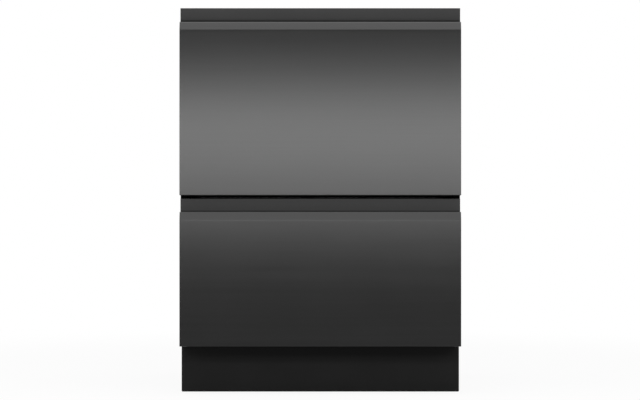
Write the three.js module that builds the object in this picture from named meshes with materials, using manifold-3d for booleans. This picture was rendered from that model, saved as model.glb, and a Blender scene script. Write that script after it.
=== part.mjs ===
// A built-in dishwasher with two pull-out drawers, 599 mm wide, in millimetres, +Z up.
// x runs across the front, y runs from the drawer fronts (negative) to the rear cover, z = 0 is the floor.
// Inside the "cabinet" group y is counted from the face of the drawer fronts, so y there is a depth.
import * as THREE from "three";
import { mergeVertices } from "three/addons/utils/BufferGeometryUtils.js";
import Module from "manifold-3d";

const wasm = await Module();
wasm.setup();

// ---- Driving dimensions ----
const frontWidth = 599; // drawer fronts, across
const overallDepth = 573; // face of the fronts to the rear cover
const overallHeight = 824; // floor to top cover, feet 4 mm up from their lowest
const gap = 0.3; // clearance between pieces that rest on or line up with each other
const sheet = 1.2; // steel sheet of fronts, plinth and cabinet
const cornerSteps = 5; // straight steps in a quarter of a round corner
const past = 1; // how far a cutting solid reaches past what it cuts
const bite = 0.5; // how far joined solids reach into each other

// Heights of the fronts
const lowerFrontBottom = 102;
const lowerFrontHeight = 286;
const lowerBandHeight = 28.5; // band above the lower front's lip
const upperBandHeight = 31.5; // band above the upper front's lip
const frontsGap = 7; // from the lower band to the upper front

// Section of a drawer front
const lipRise = 17; // height of the sloping facet on top of the front
const lipLean = 6; // how far that facet leans back
const lipLand = 2.5; // flat on top of the lip
const lipReturn = 14; // fold that hangs down inside the finger pocket
const frontReturn = 33; // depth of the folded sides and bottom
const bandSetback = 30; // the band behind the finger pocket
const bandFold = 3.5; // top fold of the band
const pocketDepth = 34; // finger pocket, below the top of the lip

// Cabinet
const cabinetInset = 1.5; // side panels behind the fronts' edges
const cabinetSetback = 36; // front edge of the side panels
const cabinetBottom = 22; // underside of the side panels
const sideFlange = 12;
const plinthSetback = 70;
const plinthOverhang = 1.3; // past the side panels
const plinthGap = 3; // below the lower front
const plinthBottom = 1;
const plinthReturn = 11;
const panWall = 1.5;
const panHeight = 34;
const panHoleRoom = 0.8; // across, between a foot's screw and its hole
const crossbarRise = 3; // above the lower band
const crossbarHeight = 21;
const crossbarDepth = 22;

// Feet
const footPadDiameter = 44;
const footPadHeight = 5;
const footConeHeight = 5;
const footConeTop = 18;
const footScrewDiameter = 10;
const footScrewTop = 48;
const footCollarDiameter = 20;
const footCollarHeight = 4;
const collarSides = 6;
const footInset = 52; // from the cabinet's sides, rear and plinth

// Drawer door
const controlDrop = 6; // control strip below the top of the band
const controlThick = 6;
const controlDepth = 28;
const buttonLength = 22;
const buttonDepth = 10;
const buttonCorner = 3;
const buttonProud = 1.2;
const buttonStem = 4;
const buttonPitch = 34;
const doorWall = 2.5; // moulded inner door
const doorPlate = 3;
const doorBoxProud = 2; // each side, past the tub
const upperDoorBoxRise = 24.5; // underside of the inner door's box, above the front's bottom edge
const lowerDoorBoxRise = 10;
const doorRimRoom = 4; // from the inner door to the tub's rim

// Tub, seal and lid
const tubFront = 76; // outer face of the tub's front wall
const tubRearRoom = 40.3; // to the rear cover
const tubSideRoom = 30; // from the tub's outside, under the rim, to the cabinet's
const tubWall = 3;
const tubFloor = 7;
const tubCorner = 40;
const rimWidth = 9;
const rimHeight = 6;
const sealHeight = 5;
const sealWidth = 9;
const lidThick = 9;
const lidSkin = 3;
const lidEdge = 12;
const lidSpine = 44; // solid band across the lid, between its ears
const lidTravel = 7;
const upperLidRoom = 1.5; // below the top cover
const lowerLidRise = 11.5; // lid's top above the lower band
const lidEarLength = 22;
const lidEarThick = 5;
const lidEarReach = 12;
const actuatorLength = 46;
const actuatorBelow = 20; // how far the housing reaches below the raised lid
const actuatorRoom = 4; // from the lid's edge

// Slides: a channel on the side panel, a middle member, and an inner member on the drawer
const slideRearRoom = 31.5; // from the channels to the side panels' rear edge
const slideDepth = 12.7;
const slideHeight = 45;
const slideWall = 1.5;
const slidePlay = 0.5; // space for the balls between members
const slideStart = 42; // front end of the channels
const slideDrop = 158; // middle of the slides below the tub's rim
const tubRailHeight = 16;
const tubRailInset = 17.75; // from the tub's front and rear

// Wash system
const filterDiameter = 300;
const filterThick = 3;
const hubDiameter = 40;
const hubFlare = 16;
const hubHeight = 14;
const shaftDiameter = 16;
const shaftEnd = 4; // above the spray arm's blades
const armRadius = 206;
const armThick = 9;
const armHubDiameter = 54;
const armHubRise = 2;
const armRoot = 40;
const armTip = 26;
const armBow = 14;
const motorDiameter = 190;
const upperMotorHeight = 72;
const lowerMotorHeight = 40;
const upperMotorRoom = 17.9; // above the crossbar
const lowerMotorRoom = 14.1; // above the plinth
const pumpDiameter = 68;
const pumpAcross = 118; // pump's axis from the motor's, across
const pumpBack = 40; // and towards the rear
const pumpTop = 8; // below the tub
const pumpRise = 4; // above the motor's underside
const volute = 40; // width of the passage from motor to pump

// Rack
const wire = 4;
const rackGap = 12; // to the tub's sides and rear
const rackFrontGap = 19; // to the tub's front wall, past the dispenser
const rackLift = 42; // base above the tub floor
const rackHeight = 112;
const rackPitch = 70; // wires across and along, and the uprights of the sides
const rackLeg = 8;
const rackLegInset = 36; // from the ends of the rack's sides
const tineHeight = 82;
const tinePitch = 44;
const tineThick = 3.6;
const tineRod = 4.4;
const tineRodEnd = 6; // past the last tine
const tineBack = 36; // hinge line behind the rack's middle
const tineCount = 9;

// Detergent dispenser
const dispenserWidth = 212;
const dispenserHeight = 92;
const dispenserFlange = 4;
const dispenserLap = 7; // flange over the edge of the tub's window
const dispenserDepth = 20; // pocket, in front of the tub's inner face
const dispenserDrop = 58; // below the rim
const cupWidth = 64;
const cupHeight = 56;
const cupDepth = 18;
const cupDoorThick = 3;
const cupDoorLap = 4;
const cupGripInset = 7; // grip bar from the ends and the edge of the door
const cupGripWidth = 5;
const cupGripProud = 3;
const capDiameter = 36;
const capThick = 3;
const capGrip = 4;
const capGripWidth = 6;
const capPlugDiameter = 29;
const capPlug = 7;
const capPlay = 0.7; // all round, between the plug and its socket
const capRoom = 16; // from the cup to the rinse-aid cap

// Cutlery basket
const basketWidth = 150;
const basketDepth = 96;
const basketHeight = 122;
const basketWall = 3;
const basketCorner = 8;
const basketAcross = 140; // right of the middle
const basketRoom = 2; // behind the rack's front wires

// Rear connections
const portsWidth = 132;
const portsDepth = 24;
const portsHeight = 48;
const portWall = 3;
const portBore = 12; // depth of each bore in the block
const portRecess = 0.5; // ends in front of the rear cover's face
const inletDiameter = 26.4;
const drainDiameter = 21;
const glandDiameter = 16;
const portPitch = 40;
const portsInset = 96; // centre of the block, from the cabinet's right side
const portsWindowEdge = 5; // block hidden behind the edge of the window

// ---- Finishes ----
const finish = (color, roughness, metalness) =>
  new THREE.MeshStandardMaterial({ color, roughness, metalness });
const finishes = {
  blackSteel: finish(0x55565a, 0.38, 1),
  blackPaint: finish(0x17181a, 0.55, 0.2),
  zincSteel: finish(0xa9adb0, 0.4, 1),
  brightSteel: finish(0xc8cbce, 0.28, 1),
  blackPlastic: finish(0x141517, 0.45, 0),
  greyPlastic: finish(0x8f9498, 0.5, 0),
  tubPlastic: finish(0xb9bec2, 0.45, 0),
  lidPlastic: finish(0xc9cdd0, 0.5, 0),
  rubber: finish(0x2a2c2e, 0.8, 0),
  rackCoat: finish(0x7d8388, 0.5, 0),
};

// ---- Solids ----
// A closed geometry as a manifold-3d solid.
function solidOf(geometry) {
  geometry.deleteAttribute("normal");
  geometry.deleteAttribute("uv");
  const merged = mergeVertices(geometry);
  const vertProperties = new Float32Array(merged.attributes.position.array);
  const triVerts = new Uint32Array(merged.index.array);
  return new wasm.Manifold(new wasm.Mesh({ numProp: 3, vertProperties, triVerts }));
}

const join = (...solids) => solids.reduce((all, next) => all.add(next));
const cut = (solid, ...tools) => tools.reduce((left, tool) => left.subtract(tool), solid);

// A box between two corners.
function box(x0, x1, y0, y1, z0, z1) {
  const geometry = new THREE.BoxGeometry(x1 - x0, y1 - y0, z1 - z0);
  return solidOf(geometry.translate((x0 + x1) / 2, (y0 + y1) / 2, (z0 + z1) / 2));
}

// A shape in x and y, raised from z0 to z1.
function raise(shape, z0, z1) {
  const settings = { depth: z1 - z0, bevelEnabled: false, curveSegments: cornerSteps };
  const geometry = new THREE.ExtrudeGeometry(shape, settings);
  return solidOf(geometry.translate(0, 0, z0));
}

// A section in depth and height, carried across the width from x0 to x1.
function across(points, x0, x1) {
  const outline = new THREE.Shape(points.map(([y, z]) => new THREE.Vector2(y, z)));
  const geometry = new THREE.ExtrudeGeometry(outline, { depth: x1 - x0, bevelEnabled: false });
  geometry.applyMatrix4(new THREE.Matrix4().set(0, 0, 1, x0, 1, 0, 0, 0, 0, 1, 0, 0, 0, 0, 0, 1));
  return solidOf(geometry);
}

// Sides of a round piece: they grow with the square root of its diameter, in fours.
function sidesOf(diameter) {
  return 4 * Math.max(3, Math.round(0.6 * Math.sqrt(diameter)));
}

// A cylinder from z0 to z1, turned about Z.
function post(diameter, z0, z1, x = 0, y = 0, sides = sidesOf(diameter)) {
  const geometry = new THREE.CylinderGeometry(diameter / 2, diameter / 2, z1 - z0, sides);
  return solidOf(geometry.rotateX(Math.PI / 2).translate(x, y, (z0 + z1) / 2));
}

// A cone cut off at both ends, from z0 to z1, turned about Z.
function cone(lowerDiameter, upperDiameter, z0, z1) {
  const sides = sidesOf(lowerDiameter);
  const geometry = new THREE.CylinderGeometry(upperDiameter / 2, lowerDiameter / 2, z1 - z0, sides);
  return solidOf(geometry.rotateX(Math.PI / 2).translate(0, 0, (z0 + z1) / 2));
}

// A cylinder from y0 to y1, turned about Y.
function stub(diameter, y0, y1, x = 0, z = 0) {
  const geometry = new THREE.CylinderGeometry(diameter / 2, diameter / 2, y1 - y0, sidesOf(diameter));
  return solidOf(geometry.translate(x, (y0 + y1) / 2, z));
}

// A rectangle with round corners, centred on the origin.
function roundRectangle(width, depth, radius) {
  const [x, y, r] = [width / 2, depth / 2, radius];
  const shape = new THREE.Shape();
  shape.absarc(x - r, y - r, r, 0, Math.PI / 2);
  shape.absarc(-x + r, y - r, r, Math.PI / 2, Math.PI);
  shape.absarc(-x + r, -y + r, r, Math.PI, Math.PI * 1.5);
  shape.absarc(x - r, -y + r, r, Math.PI * 1.5, Math.PI * 2);
  shape.closePath();
  return shape;
}

// A loop of constant width whose outside is a round rectangle.
function loop(width, depth, radius, band, z0, z1) {
  const outer = raise(roundRectangle(width, depth, radius), z0, z1);
  const inner = roundRectangle(width - 2 * band, depth - 2 * band, radius - band);
  return cut(outer, raise(inner, z0 - past, z1 + past));
}

// A solid as a named mesh, put in its group at a place.
function piece(group, name, solid, material, x = 0, y = 0, z = 0) {
  const data = solid.getMesh();
  const geometry = new THREE.BufferGeometry();
  geometry.setAttribute("position", new THREE.BufferAttribute(data.vertProperties, data.numProp));
  geometry.setIndex(new THREE.BufferAttribute(data.triVerts, 1));
  const flat = geometry.toNonIndexed();
  flat.computeVertexNormals();
  const mesh = new THREE.Mesh(flat, material);
  mesh.name = name;
  mesh.position.set(x, y, z);
  group.add(mesh);
  return mesh;
}

// ---- Places worked out from the driving dimensions ----
const cabinetWidth = frontWidth - 2 * cabinetInset;
const tubWidth = cabinetWidth - 2 * tubSideRoom;
const lowerFrontTop = lowerFrontBottom + lowerFrontHeight;
const lowerBandTop = lowerFrontTop + lowerBandHeight;
const upperFrontBottom = lowerBandTop + frontsGap;
const upperFrontTop = overallHeight - upperBandHeight;
const sideInner = cabinetWidth / 2 - sheet; // inner face of a side panel
const coverUnder = overallHeight - sheet; // underside of the top cover
const rearInner = overallDepth - sheet;
const sidesTop = coverUnder - gap;
const sidesRear = rearInner - gap;
const slideLength = sidesRear - slideRearRoom - slideStart;
const plinthTop = lowerFrontBottom - plinthGap;
const crossbarBottom = lowerBandTop + crossbarRise;
const crossbarTop = crossbarBottom + crossbarHeight;
const toeFront = plinthSetback + sheet + plinthReturn + gap; // side panels, beside the plinth
const panFront = plinthSetback + sheet + gap;
const panBottom = cabinetBottom + sheet + gap;
const panTop = panBottom + panHeight;
const doorFront = bandSetback + sheet + gap; // front of the inner door and of the control strip
const buttonLine = doorFront + controlDepth / 2;
const tubRear = rearInner - tubRearRoom;
const tubLength = tubRear - tubFront;
const tubMiddle = (tubFront + tubRear) / 2;
const rimOuterWidth = tubWidth + 2 * rimWidth;
const rimOuterLength = tubLength + 2 * rimWidth;
const rimCorner = tubCorner + rimWidth;
const innerWidth = tubWidth - 2 * tubWall;
const innerLength = tubLength - 2 * tubWall;
const innerCorner = tubCorner - tubWall;
const slideInnerFace = sideInner - slideDepth; // face of the inner member, towards the tub
const lidDrop = lidThick + gap + sealHeight + lidTravel + gap; // top of the raised lid to the tub's rim
const rackWidth = innerWidth - 2 * rackGap;
const rackFront = -innerLength / 2 + rackFrontGap;
const rackRear = innerLength / 2 - rackGap;
const rackLength = rackRear - rackFront;
const rackMiddle = (rackFront + rackRear) / 2;
const capX = cupWidth / 2 + capRoom + capDiameter / 2;
const portsX = cabinetWidth / 2 - portsInset;
const portsBottom = panTop + gap;

// Each drawer's own sizes. Heights are from the floor.
const drawers = [
  {
    name: "upper",
    frontBottom: upperFrontBottom,
    frontTop: upperFrontTop,
    bandTop: overallHeight,
    lidTop: coverUnder - upperLidRoom,
    doorBoxRise: upperDoorBoxRise,
    motorUnder: crossbarTop + upperMotorRoom,
    motorHeight: upperMotorHeight,
    hasBasket: false,
  },
  {
    name: "lower",
    frontBottom: lowerFrontBottom,
    frontTop: lowerFrontTop,
    bandTop: lowerBandTop,
    lidTop: lowerBandTop + lowerLidRise,
    doorBoxRise: lowerDoorBoxRise,
    motorUnder: plinthTop + lowerMotorRoom,
    motorHeight: lowerMotorHeight,
    hasBasket: true,
  },
];
for (const d of drawers) {
  d.rimTop = d.lidTop - lidDrop;
  d.slideZ = d.rimTop - slideDrop;
  d.floor = d.motorUnder + d.motorHeight + gap + tubFloor;
}

// ---- Cabinet ----
// One side panel with its front and bottom flanges, the slide channels welded to it and the lid actuators
// bolted to it. side is -1 or 1.
function sidePanel(side) {
  const outer = cabinetWidth / 2;
  const toeTop = plinthTop + gap;
  const profile = [
    [cabinetSetback, toeTop],
    [cabinetSetback, sidesTop],
    [sidesRear, sidesTop],
    [sidesRear, cabinetBottom],
    [toeFront, cabinetBottom],
    [toeFront, toeTop],
  ];
  const flangeFrom = outer - sideFlange;
  const flangeRear = cabinetSetback + sheet;
  const frontFlange = box(flangeFrom, outer, cabinetSetback, flangeRear, toeTop, sidesTop);
  const bottomFlange = box(flangeFrom, outer, toeFront, sidesRear, cabinetBottom, cabinetBottom + sheet);
  const half = slideHeight / 2;
  const notches = drawers.map(({ slideZ }) =>
    box(flangeFrom - past, sideInner, cabinetSetback - past, flangeRear + past, slideZ - half, slideZ + half),
  );
  const channels = drawers.map(({ slideZ }) => slideMember(sideInner, slideDepth, slideHeight, slideZ));
  const actuators = drawers.map(({ lidTop }) => lidActuator().translate([0, tubMiddle, lidTop - lidThick]));
  const panel = join(across(profile, sideInner, outer), frontFlange, bottomFlange);
  return onSide(side, join(cut(panel, ...notches), ...channels, ...actuators));
}

// A solid made for the right side, or its mirror image for the left.
function onSide(side, solid) {
  return side > 0 ? solid : solid.mirror([1, 0, 0]);
}

// A slide member: a channel lying on its side that reaches inwards from x by its depth.
// Its web is at x and it opens towards the tub, or the other way round where it is turned.
function slideMember(x, depth, height, z, turned = false) {
  const [y0, y1] = [slideStart, slideStart + slideLength];
  const [low, high] = [z - height / 2, z + height / 2];
  const web = turned
    ? box(x - depth, x - depth + slideWall, y0, y1, low, high)
    : box(x - slideWall, x, y0, y1, low, high);
  return join(
    web,
    box(x - depth, x, y0, y1, low, low + slideWall),
    box(x - depth, x, y0, y1, high - slideWall, high),
  );
}

// One folded sheet: top cover and rear cover, with a window for the connections.
function topRearCover() {
  const half = cabinetWidth / 2;
  const top = box(-half, half, cabinetSetback, overallDepth, coverUnder, overallHeight);
  const rear = box(-half, half, rearInner, overallDepth, cabinetBottom, overallHeight);
  const reach = portsWidth / 2 - portsWindowEdge;
  const [low, high] = [portsBottom + portsWindowEdge, portsBottom + portsHeight - portsWindowEdge];
  const window = box(portsX - reach, portsX + reach, rearInner - past, overallDepth + past, low, high);
  return cut(join(top, rear), window);
}

// Water inlet, drain and cable gland on one moulded block that stands on the pan's rear wall.
// z = 0 is its underside.
function hosePorts() {
  const middle = portsHeight / 2;
  const end = overallDepth - portRecess;
  const block = box(-portsWidth / 2, portsWidth / 2, sidesRear - portsDepth, sidesRear, 0, portsHeight);
  const diameters = [inletDiameter, drainDiameter, glandDiameter];
  const ports = diameters.map((diameter, i) => [diameter, (i - 1) * portPitch]);
  const stubs = ports.map(([diameter, x]) => stub(diameter, sidesRear - bite, end, x, middle));
  const bores = ports.map(([diameter, x]) =>
    stub(diameter - 2 * portWall, sidesRear - portBore, end + past, x, middle),
  );
  return cut(join(block, ...stubs), ...bores);
}

// A pressed tray that ties the side panels together and carries the feet.
function basePan() {
  const half = sideInner - gap;
  const rear = rearInner - gap;
  const floorTop = panBottom + panWall;
  const outside = box(-half, half, panFront, rear, panBottom, panTop);
  const [x, front] = [half - panWall, panFront + panWall];
  const inside = box(-x, x, front, rear - panWall, floorTop, panTop + past);
  const hole = footScrewDiameter + panHoleRoom;
  const holes = footPlaces().map(([, at, y]) => post(hole, panBottom - past, floorTop + past, at, y));
  return cut(outside, inside, ...holes);
}

function footPlaces() {
  const x = cabinetWidth / 2 - footInset;
  const [front, rear] = [panFront + footInset, rearInner - footInset];
  return [
    ["foot_front_left", -x, front],
    ["foot_front_right", x, front],
    ["foot_rear_left", -x, rear],
    ["foot_rear_right", x, rear],
  ];
}

// Levelling foot: round pad, screw and the six-sided collar that the pan sits on.
function foot() {
  const coneTop = footPadHeight + footConeHeight;
  const collarTop = panBottom - gap;
  return join(
    post(footPadDiameter, 0, footPadHeight),
    cone(footPadDiameter, footConeTop, footPadHeight, coneTop),
    post(footScrewDiameter, coneTop - bite, footScrewTop),
    post(footCollarDiameter, collarTop - footCollarHeight, collarTop, 0, 0, collarSides),
  );
}

// Folded toe board with a return at each end and a fold back under the lower drawer.
function kickPlinth() {
  const half = cabinetWidth / 2 + plinthOverhang;
  const inside = half - sheet;
  const [front, rear] = [plinthSetback, plinthSetback + sheet + plinthReturn];
  const whole = box(-half, half, front, rear, plinthBottom, plinthTop);
  const hollow = box(-inside, inside, front + sheet, rear + past, plinthBottom - past, plinthTop - sheet);
  return cut(whole, hollow);
}

// The dark rail between the two drawers, a channel that opens to the rear.
function middleCrossbar() {
  const half = sideInner - gap;
  const front = cabinetSetback + sheet + gap;
  const rear = front + crossbarDepth;
  const [bottom, top] = [crossbarBottom + sheet, crossbarTop - sheet];
  const hollow = box(-half - past, half + past, front + sheet, rear + past, bottom, top);
  return cut(box(-half, half, front, rear, crossbarBottom, crossbarTop), hollow);
}

// ---- Lid ----
// A moulded tray with an ear on each side that the actuators lift. z = 0 is its underside.
function lid() {
  const plate = raise(roundRectangle(rimOuterWidth, rimOuterLength, rimCorner), 0, lidThick);
  const [width, length] = [rimOuterWidth - 2 * lidEdge, rimOuterLength - 2 * lidEdge];
  const hollow = roundRectangle(width, length, rimCorner - lidEdge);
  const reach = rimOuterWidth / 2 + lidEarReach;
  const ears = box(-reach, reach, -lidEarLength / 2, lidEarLength / 2, 0, lidEarThick);
  const spineHalf = rimOuterWidth / 2 - bite;
  const spine = box(-spineHalf, spineHalf, -lidSpine / 2, lidSpine / 2, 0, lidThick);
  return join(cut(plate, raise(hollow, lidSkin, lidThick + past)), ears, spine);
}

function lidSeal() {
  return loop(rimOuterWidth, rimOuterLength, rimCorner, sealWidth, 0, sealHeight);
}

// Motor housing on the right side panel, with the slot that the lid's ear travels in.
// z = 0 is the underside of the raised lid.
function lidActuator() {
  const [inner, outer] = [rimOuterWidth / 2 + actuatorRoom, sideInner + bite];
  const half = actuatorLength / 2;
  const top = lidThick + upperLidRoom - gap;
  const slotHalf = lidEarLength / 2 + gap;
  const slotEnd = rimOuterWidth / 2 + lidEarReach + gap;
  const slot = box(inner - past, slotEnd, -slotHalf, slotHalf, -lidTravel - gap, lidEarThick + gap);
  return cut(box(inner, outer, -half, half, -actuatorBelow, top), slot);
}

// ---- Drawer front ----
// Folded steel front. z = 0 is its bottom edge, top is the top of its lip.
function frontSkin(top) {
  const half = frontWidth / 2;
  const facet = top - lipRise;
  const landEnd = lipLean + lipLand;
  const face = [
    [0, 0],
    [sheet, 0],
    [sheet, facet],
    [lipLean + sheet, top - sheet],
    [landEnd - sheet, top - sheet],
    [landEnd - sheet, top - lipReturn],
    [landEnd, top - lipReturn],
    [landEnd, top],
    [lipLean, top],
    [0, facet],
  ];
  const end = [
    [0, 0],
    [frontReturn, 0],
    [frontReturn, top],
    [lipLean, top],
    [0, facet],
  ];
  return join(
    across(face, -half, half),
    across(end, -half, -half + sheet),
    across(end, half - sheet, half),
    box(-half, half, 0, frontReturn, 0, sheet),
  );
}

// The band behind the finger pocket, folded back at the top and forward under the pocket.
function handleRecess(lipTop, bandTop) {
  const floor = lipTop - pocketDepth;
  const front = sheet + gap;
  const bandRear = bandSetback + sheet;
  const section = [
    [front, floor],
    [bandRear, floor],
    [bandRear, bandTop - sheet],
    [bandSetback + bandFold, bandTop - sheet],
    [bandSetback + bandFold, bandTop],
    [bandSetback, bandTop],
    [bandSetback, floor + sheet],
    [front, floor + sheet],
  ];
  const half = frontWidth / 2 - sheet - gap;
  const wide = frontWidth / 2 - gap;
  return join(across(section, -half, half), box(-wide, wide, bandSetback, bandRear, lipTop + gap, bandTop));
}

// Moulded inner door: a plate behind the front, and a hollow box that meets the tub and has the control strip
// on top, with a pocket for each button. z = 0 is the front's bottom edge.
function innerDoor(d) {
  const stripTop = d.bandTop - controlDrop - d.frontBottom;
  const top = stripTop - controlThick;
  const underRim = d.rimTop - rimHeight - gap - d.frontBottom;
  const plateTop = d.frontTop - d.frontBottom - gap;
  const plateRear = doorFront + doorPlate;
  const shoulder = tubFront - rimWidth - doorRimRoom;
  const rear = tubFront - gap;
  const plateHalf = frontWidth / 2 - sheet - gap;
  const half = tubWidth / 2 + doorBoxProud;
  const section = (wall, extra) => [
    [plateRear - bite, d.doorBoxRise - extra],
    [plateRear - bite, top - wall],
    [shoulder - wall, top - wall],
    [shoulder - wall, underRim - wall],
    [rear + extra, underRim - wall],
    [rear + extra, d.doorBoxRise - extra],
  ];
  const shell = cut(
    across(section(0, 0), -half, half),
    across(section(doorWall, past), -half + doorWall, half - doorWall),
  );
  const stripHalf = tubWidth / 2;
  const pocket = roundRectangle(buttonLength + 2 * gap, buttonDepth + 2 * gap, buttonCorner);
  const punch = raise(pocket, top, stripTop + past);
  const door = join(
    box(-plateHalf, plateHalf, doorFront, plateRear, sheet + gap, plateTop),
    box(-half, half, doorFront, plateRear, d.doorBoxRise, top),
    box(-stripHalf, stripHalf, doorFront, doorFront + controlDepth, top - bite, stripTop),
    shell,
  );
  return cut(door, ...buttonPlaces.map((x) => punch.translate([x, buttonLine, 0])));
}

const buttonNames = ["power", "start"];
const buttonPlaces = buttonNames.map((_, i) => (i - (buttonNames.length - 1) / 2) * buttonPitch);

// z = 0 is the top of the control strip.
function button() {
  return raise(roundRectangle(buttonLength, buttonDepth, buttonCorner), -buttonStem, buttonProud);
}

// ---- Tub ----
// Open moulded tub with its rim, side rails, filter recess and dispenser window. z = 0 is the rim's top.
function tub(d) {
  const floor = d.floor - d.rimTop;
  const outside = raise(roundRectangle(tubWidth, tubLength, tubCorner), floor - tubFloor, 0);
  const rim = raise(roundRectangle(rimOuterWidth, rimOuterLength, rimCorner), -rimHeight, 0);
  const inside = raise(roundRectangle(innerWidth, innerLength, innerCorner), floor, past);
  const railReach = slideInnerFace - gap;
  const [railHalf, railLow] = [tubLength / 2 - tubRailInset, -slideDrop - tubRailHeight / 2];
  const rails = box(-railReach, railReach, -railHalf, railHalf, railLow, railLow + tubRailHeight);
  const recess = post(filterDiameter + 2 * gap, floor - filterThick - gap, floor + past);
  const [front, reach] = [-tubLength / 2, dispenserWidth / 2 - dispenserLap];
  const [low, high] = [-dispenserDrop - dispenserHeight + dispenserLap, -dispenserDrop - dispenserLap];
  const window = box(-reach, reach, front - past, front + tubWall + past, low, high);
  return cut(join(outside, rim, rails), inside, recess, window);
}

// Round filter plate with the hub and shaft that carry the spray arm. z = 0 is its underside.
function filterPlate() {
  const hubTop = filterThick + hubHeight;
  return join(
    post(filterDiameter, 0, filterThick),
    cone(hubDiameter + hubFlare, hubDiameter, filterThick - bite, hubTop),
    post(shaftDiameter, filterThick, hubTop + armThick + shaftEnd),
  );
}

// Two-bladed spray arm about its bore. Each blade bows one way and narrows to a round tip.
function sprayArm() {
  const blade = new THREE.Shape();
  const [root, tip] = [armRoot / 2, armTip / 2];
  const end = armRadius - tip;
  blade.moveTo(0, -root);
  blade.quadraticCurveTo(end / 2, -root - armBow, end, -tip);
  blade.absarc(end, 0, tip, -Math.PI / 2, Math.PI / 2);
  blade.quadraticCurveTo(end / 2, root - armBow, 0, root);
  blade.closePath();
  const one = raise(blade, 0, armThick);
  const both = join(one, one.rotate([0, 0, 180]), post(armHubDiameter, 0, armThick + armHubRise));
  return cut(both, post(shaftDiameter + 2 * gap, -past, armThick + armHubRise + past));
}

// Motor and drain pump that hang under the tub, with the passage between them.
// z = 0 is the top, against the tub.
function washMotor(height) {
  const pumpUnder = pumpRise - height;
  return join(
    post(motorDiameter, -height, 0),
    post(pumpDiameter, pumpUnder, -pumpTop, pumpAcross, pumpBack),
    box(0, pumpAcross, pumpBack - volute / 2, pumpBack + volute / 2, pumpUnder + bite, -pumpTop - bite),
  );
}

// ---- Rack ----
// Places for wires, evenly spaced between the ends of a side.
function wirePlaces(length) {
  const count = Math.max(2, Math.round(length / rackPitch));
  return Array.from({ length: count - 1 }, (_, i) => ((i + 1) / count - 0.5) * length);
}

// Flat base of the rack about its own middle, inside its four sides. z = 0 is its underside.
// The wires along the drawer lie on the level of the frame, and the ones across lie half a wire higher.
function rackBase() {
  const [x, y, half] = [rackWidth / 2 - wire - gap, rackLength / 2 - wire - gap, wire / 2];
  const middle = box(wire - x, x - wire, wire - y, y - wire, -past, wire + past);
  const parts = [cut(box(-x, x, -y, y, 0, wire), middle)];
  for (const at of wirePlaces(rackWidth)) parts.push(box(at - half, at + half, bite - y, y - bite, 0, wire));
  for (const at of wirePlaces(rackLength))
    parts.push(box(bite - x, x - bite, at - half, at + half, half, half + wire));
  return join(...parts);
}

// One flat side of the rack along X, with legs where it stands on the tub's floor.
// z = 0 is level with the base.
function rackSide(length, hasLegs) {
  const [end, half] = [length / 2, wire / 2];
  const parts = [0, rackHeight - wire].map((z) => box(-end, end, -half, half, z, z + wire));
  const uprights = [half - end, ...wirePlaces(length), end - half];
  for (const at of uprights) parts.push(box(at - half, at + half, -half, half, bite, rackHeight - bite));
  const legs = hasLegs ? [rackLegInset - end, end - rackLegInset] : [];
  const legHalf = rackLeg / 2;
  for (const at of legs) parts.push(box(at - legHalf, at + legHalf, -half, half, gap - rackLift, bite));
  return join(...parts);
}

// A row of tines on one rod along X; the rod's centre is the origin and it folds about it.
function foldTines() {
  const rodLength = (tineCount - 1) * tinePitch + 2 * tineRodEnd;
  const radius = tineRod / 2;
  const rod = new THREE.CylinderGeometry(radius, radius, rodLength, sidesOf(tineRod)).rotateZ(Math.PI / 2);
  const half = tineThick / 2;
  const tines = Array.from({ length: tineCount }, (_, i) => (i - (tineCount - 1) / 2) * tinePitch);
  return join(solidOf(rod), ...tines.map((x) => box(x - half, x + half, -half, half, 0, tineHeight)));
}

// Two open compartments for cutlery. z = 0 is its underside.
function cutleryBasket() {
  const [x, y, wall] = [basketWidth / 2, basketDepth / 2, basketWall];
  const outside = raise(roundRectangle(basketWidth, basketDepth, basketCorner), 0, basketHeight);
  const bay = (from, to) => box(from, to, wall - y, y - wall, wall, basketHeight + past);
  return cut(outside, bay(wall - x, -wall / 2), bay(wall / 2, x - wall));
}

// ---- Dispenser ----
// Moulded dispenser: flange inside the tub, pocket through the wall, detergent cup and rinse-aid socket.
// y = 0 is the tub wall's inner face, z = 0 its middle.
function dispenser() {
  const [halfWidth, halfHeight] = [dispenserWidth / 2, dispenserHeight / 2];
  const inset = dispenserLap + gap;
  const [x, z] = [halfWidth - inset, halfHeight - inset];
  const flange = box(-halfWidth, halfWidth, gap, dispenserFlange, -halfHeight, halfHeight);
  const pocket = box(-x, x, -dispenserDepth, gap + bite, -z, z);
  const [cupHalf, cupFloor] = [cupWidth / 2, dispenserFlange - cupDepth];
  const cup = box(-cupHalf, cupHalf, cupFloor, dispenserFlange + past, -cupHeight / 2, cupHeight / 2);
  const socket = stub(capPlugDiameter + 2 * capPlay, dispenserFlange - capPlug, dispenserFlange + past, capX);
  return cut(join(flange, pocket), cup, socket);
}

// Sliding cover of the detergent cup, with a grip bar. y = 0 is its face against the dispenser.
function dispenserDoor() {
  const [x, z] = [cupWidth / 2 + cupDoorLap, cupHeight / 2 + cupDoorLap];
  const [gripX, gripZ] = [x - cupGripInset, z - cupGripInset];
  const gripFront = cupDoorThick + cupGripProud;
  const grip = box(gripX - cupGripWidth, gripX, cupDoorThick - bite, gripFront, -gripZ, gripZ);
  return join(box(-x, x, 0, cupDoorThick, -z, z), grip);
}

// Rinse-aid cap: a disc, its plug in the socket and the bar it is turned by. y = 0 is its seat.
function rinseCap() {
  const reach = capPlugDiameter / 2;
  return join(
    stub(capDiameter, 0, capThick),
    stub(capPlugDiameter, gap - capPlug, bite),
    box(-reach, reach, capThick - bite, capThick + capGrip, -capGripWidth / 2, capGripWidth / 2),
  );
}

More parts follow.
